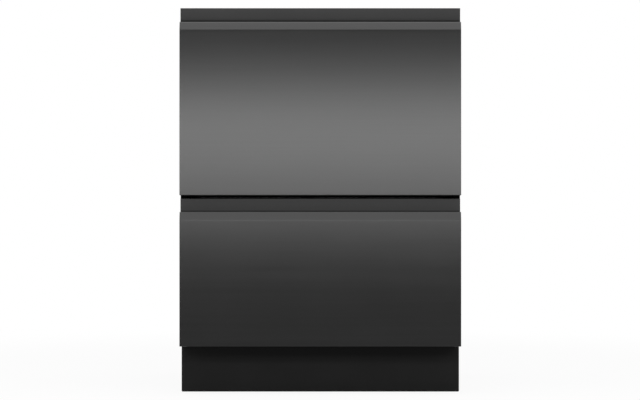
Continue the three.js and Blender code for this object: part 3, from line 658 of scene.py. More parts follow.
# ---- Cabinet ----
TOE_DEPTH, TOE_HEIGHT = 82.5, 99.3  # of the corner cut out of the side panels for the toe board
SLIDE_SHEET = 1.5
NEAR_FOLD = (0, 2, 4, 8)  # extra lines beside a fold or the edge of a pressed field
NEAR_FIELD = (0, 3, 6)
NEAR_SEAT = (-7, -5, -3, 0, 3, 5, 7)
LOUVRES = (148, 164, 180, 196, 212, 228)  # heights of the slots in the rear
SEATS = [(x, z) for x in (-284, 284) for z in (34, 230, 430, 630, 806)]  # screw seats in the rear


def beside_slides(reach):
    """Heights that far below and above the middle of each slide."""
    return [SLIDE[w] + d for w in DRAWERS for d in (-reach, reach)]


def channel(surface, side, web, mouth, height, z, stations):
    """A slide member: web and two flanges with round bends, carried along the drawer."""
    flange = (height - SLIDE_SHEET) / 2
    line = rounded([(mouth, flange), (web, flange), (web, -flange), (mouth, -flange)], [0, 1.9, 1.9, 0], 4)
    surface.folded(swept(band(line, SLIDE_SHEET) * (side, 1) + (0, z), stations, 1))


def side_panel(word, side):
    """Folded panel: flange and wall in one sheet, with pressed fields between the slides, and channels."""
    low, high = place(f"{word}_side_panel")
    start, end, half = low[1] - FRONT, high[1] - FRONT, SHEET / 2
    wall = PANEL - half
    fields = [(122, 214, 96), (284, 410, 66), (452, 606, 66), (678, 806, 66)]  # bottom, top and front depth
    bend = rounded([(PANEL - 12, start + half), (wall, start + half), (wall, start + 12)], [0, 1.8, 0], 5)
    depths = lines(start + 4, end, 16, (TOE_DEPTH, 66, 548), NEAR_FOLD)
    line = np.concatenate([bend[:-1], np.stack([np.full(len(depths), wall), depths], -1)])
    marks = [z for field in fields for z in field[:2]] + beside_slides(22.8)
    heights = lines(low[2], high[2], 16, [*marks, TOE_HEIGHT], NEAR_FOLD)
    s, z = np.meshgrid(line[:, 1], heights)
    x = np.meshgrid(line[:, 0], heights)[0]
    for bottom, top, front in fields:
        x += swage(s, z, (front, bottom), (548, top), (26, 24), (22, 12), 7)
    keep, mid_z, mid_s = cells(heights, line[:, 1])
    keep[np.ix_(mid_z < TOE_HEIGHT, mid_s < TOE_DEPTH)] = False
    for w in DRAWERS:
        keep[np.ix_(np.abs(mid_z - SLIDE[w]) < 22.5, mid_s < start + 2)] = False
    surface = Surface()
    surface.grid(np.stack([side * x, FRONT + s, z], -1), keep=keep)
    make(f"cabinet_side_{word}", surface, ZINC, "chassis", (f"{word}_side_panel",), wall=SHEET, offset=0)

    inner = PANEL - SHEET
    extra = Surface()
    foot_z, fold_x = low[2] + half, inner - 0.1
    turn_in = rounded([(PANEL - 12, foot_z), (fold_x, foot_z), (fold_x, low[2] + 9)], [0, 1.6, 0], 4)
    extra.folded(swept(band(turn_in, SHEET) * (side, 1), [FRONT + TOE_DEPTH + 1, high[1] - 0.5], 1))
    for w in DRAWERS:
        channel(extra, side, inner - 0.75, inner - 11.95, 45.0, SLIDE[w], np.add(FRONT, (42, 291, 540)))
    make(f"cabinet_channels_{word}", extra, ZINC, "chassis")

    # strips on the front flanges, in near-zero black that paints the shade seen through the gaps between the
    # fronts
    gap_shade_strip = Surface()
    face, ends = low[1] - 0.7, [TOE_HEIGHT + 1, high[2] - 0.8]
    cuts = sorted(ends + beside_slides(23.5))  # the tape leaves the slides room
    for bottom, top in zip(cuts[::2], cuts[1::2]):
        slab(gap_shade_strip, (side * 285.9, face, bottom), (side * 297.4, low[1] + 0.1, top), 0.3, 0.4)
    slab(gap_shade_strip, (side * (PANEL - 0.1), face, ends[0]), (side * 299.2, low[1] + 11, ends[1]), 0.5, 0.8)
    make(f"cabinet_tape_{word}", gap_shade_strip, GAP_SHADE_BLACK, "chassis")

    large = [(s, SLIDE[w], 4.2, 1.2) for w in DRAWERS for s in (62, 180, 300, 420, 522)]
    small = [(s, z, 3.6, 1.1) for s, z in ((94, 60), (50, 120), (50, 430), (50, 618), (50, 806))]
    heads = [((side * PANEL, FRONT + s, z), 0, side, *size) for s, z, *size in large + small]
    screws(f"cabinet_screws_{word}", "chassis", heads)


def top_rear_cover():
    """One sheet over the top and down the rear, with pressed fields, louvres, screw seats and a window."""
    low, high = place("top_rear_cover")
    half, rear, top = high[0], high[1] - FRONT, high[2]
    port_low, port_high = place("hose_ports")
    left, right, sill, lintel = port_low[0] + 5, port_high[0] - 5, port_low[2] + 5, port_high[2] - 5
    back, crown = rear - SHEET / 2, top - SHEET / 2
    slots = [z + d for z in LOUVRES for d in (-2.5, 2.5)]
    tops = lines(low[1] - FRONT, rear - 3.5, 18, (70, 540), NEAR_FOLD)
    bend = rounded([(rear - 4, crown), (back, crown), (back, top - 4)], [0, 2, 0], 5)
    falls = lines(low[2], top - 3.5, 18, [*slots, sill, lintel, 134, 244, 264, 508, 528, 782], NEAR_FIELD)
    falls = np.unique(np.concatenate([falls, [z + d for _, z in SEATS for d in NEAR_SEAT]]))
    falls = falls[(falls >= low[2]) & (falls < top - 4)][::-1]
    line = np.concatenate([np.stack([tops, np.full(len(tops), crown)], -1), bend[1:-1],
                           np.stack([np.full(len(falls), back), falls], -1)])
    across = lines(-half, half, 24, (left, right, -230, 230, -150, 150, -84, -20, 20, 84), NEAR_FIELD)
    across = np.unique(np.concatenate([across, [x + d for x, _ in SEATS for d in NEAR_SEAT]]))
    x, s = np.meshgrid(across, line[:, 0])
    z = np.meshgrid(across, line[:, 1])[1]
    flat = line[:, 1] > top - 1
    z[flat] -= 0.8 * swage(x, s, (-264, 76), (264, 534), 28, (30, 16), 8)[flat]
    inward = 0
    for bottom, field_top in ((264, 508), (528, 782)):
        inward = inward + 2.0 * swage(x, z, (-256, bottom), (256, field_top), 32, (26, 14), 8)
    for seat_x, seat_z in SEATS:
        inward += 1.3 * step((7.5 - np.hypot(x - seat_x, z - seat_z)) / 2.5)
    s[~flat] -= inward[~flat]
    keep, mid_s, mid_x = cells(line[:, 0], across)
    mid_z = cells(line[:, 1], across)[1]
    wall = mid_s > rear - 3
    keep[np.ix_((mid_z > sill) & (mid_z < lintel) & wall, (mid_x > left) & (mid_x < right))] = False
    away = np.abs(mid_x)
    open_x = (away > 20) & (away < 84) | (away > 150) & (away < 230)
    for slot in LOUVRES:
        keep[np.ix_((np.abs(mid_z - slot) < 2.5) & wall, open_x)] = False
    surface = Surface()
    surface.grid(np.stack([x, FRONT + s, z], -1), keep=keep)
    make("cabinet_cover", surface, ZINC, "chassis", ("top_rear_cover",), wall=SHEET, offset=0)
    screws("cover_screws", "chassis", [((x, high[1] - 1.35, z), 1, 1, 4.2, 1.25) for x, z in SEATS])


def base_pan():
    """The tray: its section is drawn round a round rectangle, with pressed ribs and a boss at each foot."""
    low, high = place("base_pan")
    width, length = (high - low)[:2]
    bottom, top = low[2], high[2]
    rows = [(i, 8, bottom + rise) for i, rise in fillet(4)]  # how far in, corner radius and height
    rows += [(0, 8, top - 0.7), (0.2, 7.8, top - 0.2), (0.75, 7.2, top), (1.3, 6.7, top - 0.2),
             (1.5, 6.5, top - 0.7), (1.5, 6.5, bottom + 4.5)]
    for t in np.linspace(0.3, QUARTER, 4):
        rows.append((1.5 + 3 * (1 - math.cos(t)), 5, bottom + 1.5 + 3 * (1 - math.sin(t))))
    surface = Surface()
    surface.closed(rings([(width - 2 * i, length - 2 * i, r, z) for i, r, z in rows], ((low + high) / 2)[:2]))
    for x in (-180, -60, 60, 180):
        slab(surface, (x - 9, low[1] + 60, bottom + 1.2), (x + 9, high[1] - 60, bottom + 3.4), 1.2, 6)
    boss = [(22, 1.3), (22, 2.4), (20.5, 3.2), (9, 3.4), (7.2, 3.4), (6.4, 1.3)]
    for name in FEET:
        x, y = sum(place(name))[:2] / 2
        surface.hoop(turned(boss, (x, y, bottom)))
    make("pan", surface, ZINC, "chassis", ("base_pan",))


def foot(name):
    """Levelling foot: a turned pad with grip ribs, a screw as steps in and out, and a chamfered hexagon."""
    centre = (*sum(place(name))[:2] / 2, 0)
    grips = 1 - 0.03 * (np.arange(48) % 2 == 0)
    pad = [(19, 0), (21.2, 0.2), (22, 1), (22, 3.6), (21.3, 4.8), (18.5, 5.6), (11, 9.2), (9, 10.2),
           (7.6, 10.6)]
    thread = [(5.0 if i % 2 else 4.25, z) for i, z in enumerate(np.arange(10.2, 47.4, 0.9))]
    nut = [(8.6, 19.2), (10, 19.9), (10, 22.5), (8.6, 23.2)]
    pieces = [("pad", turned(pad, centre, 48, 2, grips, slice(2, 4)), BLACK_PLASTIC, (name,), 35, 0),
              ("thread", turned([*thread, (4.2, 47.5), (3.6, 48)], centre, 20), STAINLESS, (), 25, 0),
              ("nut", turned(nut, centre, 6), STAINLESS, (), 20, 0.3)]
    for part, body, finish, replaces, sharp, bevel in pieces:
        surface = Surface()
        surface.closed(body)
        make(f"{name}_{part}", surface, finish, name, replaces, sharp, bevel)


def middle_crossbar():
    """A channel that opens to the rear, with its screws."""
    low, high = place("middle_crossbar")
    face, bottom, top = low[1] + SHEET / 2, low[2] + SHEET / 2, high[2] - SHEET / 2
    line = rounded([(high[1], bottom), (face, bottom), (face, top), (high[1], top)], [0, 2.2, 2.2, 0], 5)
    surface = Surface()
    surface.folded(swept(band(line, SHEET), np.linspace(low[0], high[0], 9)))
    for x in (-150, -284, 150, 284):
        screw(surface, (x, low[1], (low[2] + high[2]) / 2), 1, -1, 3.2, 0.2)
    # its near-zero black paints the shade seen through the gap between the two fronts
    make("crossbar", surface, GAP_SHADE_BLACK, "chassis", ("middle_crossbar",), 35)


def hose_ports():
    """A moulded block with a threaded inlet, a drain and a cable gland, each turned about its bore."""
    low, high = place("hose_ports")
    block, pipes = Surface(), Surface()
    slab(block, low, high - (0, 1.6, 0), 1.2, 3)
    x, _, z = (low + high) / 2
    for along, outer in ((-40, 13.2), (0, 10.5), (40, 8.0)):
        inner = outer - 3
        rows = [(outer + 3.5, -2.4), (outer + 3.5, -1.4), (outer + 2.6, -0.9), (outer, -0.9), (outer, -0.5),
                (outer - 0.5, 0), (inner + 0.4, 0), (inner, -0.5), (inner, -9), (inner - 1.2, -9.6),
                (inner - 1.2, -12), (0.5, -12)]
        pipes.closed(turned(rows, (x + along, high[1], z), 36, 1))
    make("hose_block", block, BLACK_PLASTIC, "chassis", ("hose_ports",), 35)
    make("hose_mouths", pipes, GREY_PLASTIC, "chassis", (), 35)


for word, side in SIDES.items():
    side_panel(word, side)
top_rear_cover()
base_pan()
for name in FEET:
    foot(name)
middle_crossbar()
hose_ports()


# ---- Drawer fronts ----
LIP_RISE, LIP_LEAN, LIP_LAND, LIP_RETURN = 17.0, 6.0, 2.5, 14.0
FRONT_RETURN = 33.0
BAND_SETBACK = 30.0
FOLD = 0.9  # outside radius of the folds
SIDE_POINTS, FACE_POINTS = 4, 9  # of a row of a wrapped panel


def wrapped(rows, half, depth, radius):
    """A panel folded back at both ends.

    Each row gives the face's depth, its height and how far the row is drawn in. It runs along the left side,
    round a quarter circle of the radius less the draw, across the face, and back along the right side.
    """
    turn = np.linspace(0, QUARTER, 6)
    across = np.linspace(half - radius, radius - half, FACE_POINTS)
    across[[0, -1]] += (-0.4, 0.4)
    made = []
    for face, height, inset in rows:
        bend = max(radius - inset, 0.0)
        side_s = np.linspace(depth, face + radius, SIDE_POINTS + 1)[:-1]
        edge_x = half - radius + bend * np.concatenate([np.ones(SIDE_POINTS), np.cos(turn)])
        edge_s = np.concatenate([side_s, face + radius - bend * np.sin(turn)])
        x = np.concatenate([edge_x, across, -edge_x[::-1]])
        s = np.concatenate([edge_s, np.full(FACE_POINTS, edge_s[-1]), edge_s[::-1]])
        made.append(lifted(np.stack([x, FRONT + s], -1), height))
    return np.stack(made)


def to_depth(surface, row, index, depth):
    """A flange from one row of a wrapped panel to the panel's full depth."""
    plate = row.copy()
    plate[:, 1] = FRONT + depth
    surface.quads(np.stack([surface.add(plate), index]))


def front_skin(w):
    """The steel front: face, rounded folds, the leaning lip with its return, and folded sides and bottom."""
    low, high = place(f"{w}_front_skin")
    bottom, top, half = low[2], high[2], high[0]
    facet = top - LIP_RISE
    lip = lambda t: (LIP_LEAN * t, facet + LIP_RISE * t)
    lean = rounded([(0, facet - 2.4), (0, facet), lip(0.18)], [0, 1.6, 0], 5)
    rows = [(0.0, bottom + z, inset) for inset, z in [*fillet(FOLD, 5), (0.0, FOLD + 0.4)]]
    rows += [(0.0, z, 0.0) for z in np.linspace(bottom + 6, facet - 2.4, 12)]
    rows += [(s, z, 0.0) for s, z in [*lean[1:], lip(0.4), lip(0.65), lip(0.9)]]
    main = wrapped(rows, half, FRONT_RETURN, FOLD)
    surface = Surface()
    index = surface.grid(main)
    to_depth(surface, main[0], index[0], FRONT_RETURN)
    land = LIP_LEAN + LIP_LAND
    crown = rounded([lip(0.9), (LIP_LEAN, top), (land, top), (land, top - LIP_RETURN)], [0, 1.3, 1.1, 0], 4)
    first = SIDE_POINTS + 5
    edge = main[-1][first:-first] * (1, 0, 0)
    surface.grid(np.stack([edge + (0, FRONT + s, z) for s, z in crown]))
    cheek = [(*lip(0.9), 0.0), (LIP_LEAN, top - 0.4, 0.0), (LIP_LEAN + 0.3, top, 0.0)]
    cheek = wrapped(cheek, half, FRONT_RETURN, FOLD)
    surface.grid(cheek[:, :first + 1])
    surface.grid(cheek[:, -first - 1:])
    make(f"{w}_front_panel", surface, BLACK_STEEL, f"{w}_drawer", (f"{w}_front_skin",), 30, wall=SHEET)


def handle_recess(w):
    """The band behind the pocket and the pocket's coved floor, one folded sheet."""
    low, high = place(f"{w}_handle_recess")
    back, bottom, top = BAND_SETBACK + SHEET / 2, low[2] + SHEET / 2, high[2] - SHEET / 2
    line = rounded([(1.5, bottom), (back, bottom), (back, top), (BAND_SETBACK + 3.5, top)], [0, 7, 0.8, 0], 6)
    beside_folds = [(back, z) for z in (LIP_TOP[w] + 0.2, LIP_TOP[w] + 0.4, top - 1.2)]
    section = band(np.concatenate([line[:8], beside_folds, line[8:]]), SHEET)
    half = np.where(section[:, 1] > LIP_TOP[w] + 0.3, high[0], PANEL)
    surface = Surface()
    surface.folded(np.stack([np.stack([share * half, FRONT + section[:, 0], section[:, 1]], -1)
                             for share in np.linspace(-1, 1, 7)]))
    make(f"{w}_band", surface, DARK_BAND, f"{w}_drawer", (f"{w}_handle_recess",), 30)


def kick_plinth():
    """The toe board: a folded sheet with rounded ends, a fold back at its top and a curled bottom edge."""
    low, high = place("kick_plinth")
    face, depth, bottom, top = low[1] - FRONT, high[1] - FRONT, low[2], high[2]
    rows = [(bottom + z, inset) for inset, z in fillet(0.8, 5)] + [(bottom + 1.2, 0.0)]
    rows += [(z, 0.0) for z in np.linspace(bottom + 5, top - 5, 8)]
    rows += [(top - 1.4, 0.0)] + [(top - z, inset) for inset, z in fillet(1.0, 5)[::-1]]
    main = wrapped([(face, z, inset) for z, inset in rows], high[0], depth, 1.2)
    surface = Surface()
    index = surface.grid(main)
    to_depth(surface, main[-1], index[-1], depth)
    make("toe_board", surface, PAINT, "chassis", ("kick_plinth",), 30, wall=SHEET)
    strip = Surface()
    slab(strip, (1 - high[0], low[1] + 0.2, 0.0), (high[0] - 1, low[1] + 3, bottom + 0.4), 0.4, 1)
    make("toe_strip", strip, RUBBER, "chassis")


for w in DRAWERS:
    front_skin(w)
    handle_recess(w)
kick_plinth()


# ---- Tub, seal and lid ----
TUB_WIDTH, TUB_LENGTH = 536, 455.5
WINDOW = 99  # half the width of the opening in the tub's front
STATIONS = np.array([-180, -140, -WINDOW, -66, -33, 0, 33, 66, WINDOW, 140, 180.0])  # along the front
LID_OUTLINE = 554, 473.5, 49  # width, length and corner radius


def tub_ring(inset, radius, z):
    """A round rectangle inside the tub's outside by an inset, with the window's ends among its points."""
    flat = loop(TUB_WIDTH - 2 * inset, TUB_LENGTH - 2 * inset, radius)
    front = np.stack([STATIONS, np.full(len(STATIONS), inset - TUB_LENGTH / 2)], -1)
    return lifted(np.insert(flat, 27, front, 0) + (0, MIDDLE), z)


def tub(w):
    """One skin: up the outside, over the rim, down the inside, and from there to the filter's circle.

    A fillet rounds the foot of either wall. Cells between the window's ends are left out of both walls, and
    four strips join the two edges.
    """
    rim, floor, slide = RIM[w], FLOOR[w], SLIDE[w]
    bottom, low, high = floor - 7, rim - 143, rim - 65
    rows = [(inset, bottom + rise) for inset, rise in fillet(12, 5)] + [(0, low), (0, high)]
    rows += [(inset, rim + z) for inset, z in (
        (0, -7.6), (-0.5, -6.4), (-1.6, -6), (-8, -6), (-8.8, -5.6), (-9, -4.8), (-9, -1.6), (-8.5, -0.5),
        (-7.4, 0), (-2, 0), (1.4, 0), (2.6, -0.4), (3, -1.6), (3, -22), (3.3, -23), (4, -25), (4, -30),
        (3.3, -32), (3, -33))]
    rows += [(3, high), (3, low), *[(11 - inset, floor + rise) for inset, rise in fillet(8, 5)[::-1]]]
    made = [tub_ring(inset, max(40 - inset, 8), z) for inset, z in rows]
    away = made[-1][:, :2] - (0, MIDDLE)
    unit = away / np.linalg.norm(away, axis=1, keepdims=True)
    for radius, z in ((154, 0), (153, 0), (151.2, -0.3), (150.5, -1), (150.3, -3.2)):
        made.append(lifted(unit * radius + (0, MIDDLE), floor + z))
    levels = [z for _, z in rows]
    outside, inside = levels.index(low), len(levels) - 1 - levels[::-1].index(high)
    first, last = 27 + np.searchsorted(STATIONS, (-WINDOW, WINDOW))
    keep = np.ones((len(made) - 1, len(made[0])), bool)
    keep[[[outside], [inside]], np.arange(first, last)] = False
    surface = Surface()
    index = surface.closed(np.stack(made), keep=keep)
    wide = slice(first, last + 1)
    surface.quads(np.stack([index[outside, wide], index[inside + 1, wide]]))
    surface.quads(np.stack([index[outside + 1, wide], index[inside, wide]]))
    for end in (first, last):
        surface.quads(np.stack([index[outside:outside + 2, end], index[inside:inside + 2, end][::-1]]))
    make(f"{w}_wash_tub", surface, TUB_PLASTIC, f"{w}_drawer", (f"{w}_tub",), 35)

    ribs = Surface()
    front, rear = MIDDLE - TUB_LENGTH / 2, MIDDLE + TUB_LENGTH / 2
    for side in (-1, 1):
        x = side * 267
        slab(ribs, (x, front + 17.75, slide - 8), (side * 283.8, rear - 17.75, slide + 8), 1.2, 2.5)
        for y in np.linspace(MIDDLE - 168, MIDDLE + 168, 7):
            slab(ribs, (x, y - 1.2, slide + 7), (side * 274, y + 1.2, rim - 5.9), 0.5, 1.0)
            slab(ribs, (x, y - 1.2, floor + 14), (side * 271, y + 1.2, slide - 7), 0.5, 1.0)
    for x in np.linspace(-196, 196, 9):
        slab(ribs, (x - 1.2, rear - 1, floor + 10), (x + 1.2, rear + 4.5, rim - 5.9), 0.5, 1.0)
    for z in (floor + 60, rim - 90):
        slab(ribs, (-214, rear - 1, z - 1.2), (214, rear + 4.5, z + 1.2), 0.5, 1.0)
    make(f"{w}_tub_ribs", ribs, TUB_PLASTIC, f"{w}_drawer", (), 35)


def lid(w):
    """A tray: round its outside and rim into the recess, ribs that cross, and a spine between its ears."""
    low, high = place(f"{w}_lid")
    under, top = low[2], high[2]
    rows = [(inset, under + rise) for inset, rise in fillet(1.6, 3)]
    rows += [(inset, top - rise) for inset, rise in fillet(1.2, 3)[::-1]]
    rows += [(10.8, top), (11.6, top - 0.4), (12, top - 1.2), (12, under + 5)]
    rows += [(14 - inset, under + 3 + rise) for inset, rise in fillet(2, 3)[::-1]]
    surface = Surface()
    surface.closed(drawn(*LID_OUTLINE, rows, (0, MIDDLE)))
    for side in (-1, 1):
        slab(surface, (side * 272, MIDDLE - 11, under), (side * 289, MIDDLE + 11, under + 5), 0.8, 3)
        slab(surface, (side * 266, MIDDLE - 11, under + 4), (side * 276.8, MIDDLE + 11, top), 0.8, 3)
        slab(surface, (-266, MIDDLE + side * 22, under + 2), (266, MIDDLE + side * 20, top), 0.5, 0.6)
    ribs = [(x, -21, 21, 0.8, 0.4) for x in np.linspace(-252, 252, 22)]
    ribs += [(x, y0, y1, 0.9, 2) for x in np.linspace(-216, 216, 7) for y0, y1 in ((-225, -21), (21, 225))]
    for x, y0, y1, half, drop in ribs:
        slab(surface, (x - half, MIDDLE + y0, under + 2), (x + half, MIDDLE + y1, top - drop), 0.4, 0.5)
    for y in (-168, -112, -60, 60, 112, 168):
        slab(surface, (-266, MIDDLE + y - 0.9, under + 2), (266, MIDDLE + y + 0.9, top - 2.4), 0.4, 0.5)
    make(f"{w}_tub_lid", surface, LID_PLASTIC, f"{w}_lid", (f"{w}_lid",), 35)


def seal(w):
    """A soft bulb under the lid: an oval carried round the rim, with a foot that widens by a cosine."""
    low, high = place(f"{w}_lid_seal")
    bottom, top = low[2], high[2]
    turn = np.linspace(-0.5, math.pi + 0.5, 12)
    bulb = [(4.5 - 3.3 * math.cos(a), bottom + 1.9 - 1.9 * math.sin(a)) for a in turn]
    section = [(0.4, top), (0.2, top - 0.8), (1.6, top - 1.6), *bulb,
               (7.4, top - 1.6), (8.8, top - 0.8), (8.6, top)]
    surface = Surface()
    surface.hoop(drawn(*LID_OUTLINE, section, (0, MIDDLE)))
    make(f"{w}_seal_bulb", surface, RUBBER, f"{w}_lid", (f"{w}_lid_seal",))


def lid_actuators(w):
    """Each housing is a C round the ear: a back, a foot, a roof and two cheeks."""
    origin = np.array([0, MIDDLE, place(f"{w}_lid")[0][2]])
    blocks = [((289.4, -22, -20), (296.4, 22, 10.1)), ((281, -23, -20), (290, 23, -7.4)),
              ((281, -23, 5.5), (290, 23, 10.2)), ((281, -23, -19), (290, -11.5, 9.6)),
              ((281, 11.5, -19), (290, 23, 9.6))]
    spots = [(281, y, -drop) for y in (-17.4, 17.4) for drop in (3, 15)]
    for word, side in SIDES.items():
        surface, mirror = Surface(), np.array([side, 1, 1])
        for low, high in blocks:
            slab(surface, origin + mirror * low, origin + mirror * high, 0.8, 1.4)
        make(f"{w}_actuator_{word}", surface, BLACK_PLASTIC, "chassis", (), 35)
        heads = [(origin + mirror * spot, 0, -side, 2.6, 0.9) for spot in spots]
        screws(f"{w}_actuator_screws_{word}", "chassis", heads)


for w in DRAWERS:
    tub(w)
    lid(w)
    seal(w)
    lid_actuators(w)


# ---- Racks, tines and cutlery basket ----
RACK_X, RACK_Y = 251.0, 207.25  # middles of the outer wires, from the rack's middle
RACK_MIDDLE = MIDDLE + 3.5
RACK_BASE = {w: place(f"{w}_rack_base")[0][2] for w in DRAWERS}
RACK_TOP = 110  # above the base, as the next ones are
LEG_Y, LEG_DROP = 169, 41.7


def rack(w):
    """Rails at the top, middle and base, U-shaped wires both ways, every third one thick, and looped feet."""
    base = RACK_BASE[w]
    surface = Surface()
    for z, radius, inset in ((RACK_TOP, 2.0, 0), (58, 1.5, 0.2), (2, 2.0, 0)):
        flat = loop(2 * (RACK_X - inset), 2 * (RACK_Y - inset), 16, 6) + (0, RACK_MIDDLE)
        wire(surface, lifted(flat, base + z), radius, 8, True)
    thick = lambda i: 2.0 if (i + 1) % 3 == 0 else 1.3
    bent = lambda low, high: ((-1, high), (-1, low), (1, low), (1, high))  # sides and heights of a U
    for i, y in enumerate(np.linspace(-RACK_Y, RACK_Y, 19)[1:-1]):
        path = [(side * RACK_X, RACK_MIDDLE + y, base + z) for side, z in bent(4, RACK_TOP)]
        wire(surface, rounded(path, [0, 9, 9, 0], 5), thick(i))
    for i, x in enumerate(np.linspace(-RACK_X, RACK_X, 22)[1:-1]):
        path = [(x, RACK_MIDDLE + side * RACK_Y, base + z) for side, z in bent(2, RACK_TOP)]
        wire(surface, rounded(path, [0, 9, 9, 0], 5), thick(i))
    caps = Surface()
    for sx, sy in CORNERS:
        x, y = sx * RACK_X, RACK_MIDDLE + sy * LEG_Y
        path = [(x, y + 2.3 * side, base + z) for side, z in bent(1.7 - LEG_DROP, 2)]
        wire(surface, rounded(path, [0, 2.2, 2.2, 0], 4), 1.7)
        slab(caps, (x - 2.0, y - 4.0, base - LEG_DROP), (x + 2.0, y + 4.0, base - 31), 0.8, 1.8)
    nodes = [f"{w}_rack_{part}" for part in ("base", "front", "rear", "left", "right")]
    make(f"{w}_rack_wires", surface, RACK_COAT, f"{w}_drawer", nodes, 50)
    for side in (-1, 1):
        y = RACK_MIDDLE + side * RACK_Y
        slab(caps, (-34, y - 2.6, base + 99), (34, y + 2.6, base + 112), 1.6, 2.2, 4)
        for x in np.linspace(-24, 24, 7):
            slab(caps, (x - 1.6, y - 3.2, base + 101), (x + 1.6, y + 3.2, base + 109), 0.8, 1.0)
    make(f"{w}_rack_grips", caps, GREY_PLASTIC, f"{w}_drawer")


def fold_tines(w):
    """A rod with nine round tines whose ends close as half spheres, and clips that hold it on the rack."""
    low, high = place(f"{w}_fold_tines")
    y, z = RACK_MIDDLE + 36, RACK_BASE[w] + 6.5
    surface = Surface()
    ends = np.linspace(0, QUARTER, 5)
    drop, share = 1 - np.sin(ends), np.cos(ends)
    along = np.concatenate([low[0] + 2.2 * drop[::-1], high[0] - 2.2 * drop])
    wire(surface, [(x, y, z) for x in along], 2.2 * np.concatenate([share[::-1], share]) + 0.01, 12)
    heights = np.concatenate([[0, 2, 3.2, 30, 60, 78], high[2] - z - 1.8 * drop])
    radii = np.concatenate([[2.3, 2.1, 1.75, 1.75, 1.75, 1.75], 1.75 * share + 0.01])
    for x in 44 * np.arange(-4, 5):
        wire(surface, [(x, y, z + h) for h in heights], radii, 10)
    make(f"{w}_tine_row", surface, RACK_COAT, f"{w}_fold_tines", (f"{w}_fold_tines",), 45)
    clips = Surface()
    sleeve = [(2.5, -5), (4.2, -5), (4.6, -4.4), (4.6, 4.4), (4.2, 5), (2.5, 5)]
    for x in (-154, -66, 66, 154):
        clips.hoop(turned(sleeve, (x, y, z), 24, 0))
        for side in (-1, 1):
            slab(clips, (x - 5, y + side * 7, z - 4.6), (x + 5, y + side * 2.6, z - 0.4), 0.6, 1.2)
    make(f"{w}_tine_clips", clips, GREY_PLASTIC, f"{w}_drawer")


def sieve(surface, across, up, axis, place_on_axis):
    """A flat grid square to an axis, whose every second cell both ways is a hole."""
    a, b = np.meshgrid(across, up)
    keep = cells(up, across)[0]
    keep[1:-1:2, 1:-1:2] = False
    spot = [a, b]
    spot.insert(axis, np.full(a.shape, place_on_axis))
    surface.grid(np.stack(spot, -1), keep=keep)


def cutlery_basket():
    """Lattice walls, floor and divider as pierced sheets, between a rolled rim, posts and a foot frame."""
    low, high = place("lower_cutlery_basket")
    (x0, y0, z0), (x1, y1, z1) = low, high
    middle, centre = (x0 + x1) / 2, ((low + high) / 2)[:2]
    width, length = x1 - x0, y1 - y0
    walls = Surface()
    up = uneven(z0 + 5, z1 - 8, 2.6, 10)
    for y in (y0 + 1.2, y1 - 1.2):
        sieve(walls, uneven(x0 + 6, x1 - 6, 2.4, 5.2), up, 1, y)
    for x in (x0 + 1.2, x1 - 1.2):
        sieve(walls, uneven(y0 + 6, y1 - 6, 2.4, 5.2), up, 0, x)
    sieve(walls, uneven(y0 + 2, y1 - 2, 2.4, 5.2), up, 0, middle)
    sieve(walls, uneven(x0 + 2, x1 - 2, 2.4, 4.4), uneven(y0 + 2, y1 - 2, 2.4, 4.4), 2, z0 + 1.4)
    make("basket_lattice", walls, GREY_PLASTIC, "lower_drawer", ("lower_cutlery_basket",), wall=2.0, offset=0)
    edges = Surface()
    for bottom, top in ((z1 - 9, z1), (z0, z0 + 6)):
        rows = [(0.5, bottom), (0, bottom + 0.6), (0, top - 0.8), (0.4, top - 0.2), (1.2, top), (2, top),
                (2.7, top - 0.3), (3, top - 1.0), (3, bottom + 0.6), (2.5, bottom)]
        edges.hoop(drawn(width, length, 8, rows, centre))
    angle = np.linspace(0, QUARTER, 7)
    outer = 8 * np.stack([np.cos(angle), np.sin(angle)], -1)
    section = np.concatenate([outer, outer[::-1] * 0.7])
    for corner in CORNERS:
        post = (section + (width / 2 - 8, length / 2 - 8)) * corner + centre
        edges.folded(np.stack([lifted(post, z) for z in (z0 + 3, z1 - 4)]))
    slab(edges, (middle - 3.2, y0 + 2, z1 - 9), (middle + 3.2, y1 - 2, z1), 1.6, 2.4, 4)
    slab(edges, (middle - 2.2, y0 + 26, z1 - 34), (middle + 2.2, y1 - 26, z1 - 29), 1.2, 1.6)
    make("basket_frame", edges, GREY_PLASTIC, "lower_drawer")


for w in DRAWERS:
    rack(w)
    fold_tines(w)
cutlery_basket()


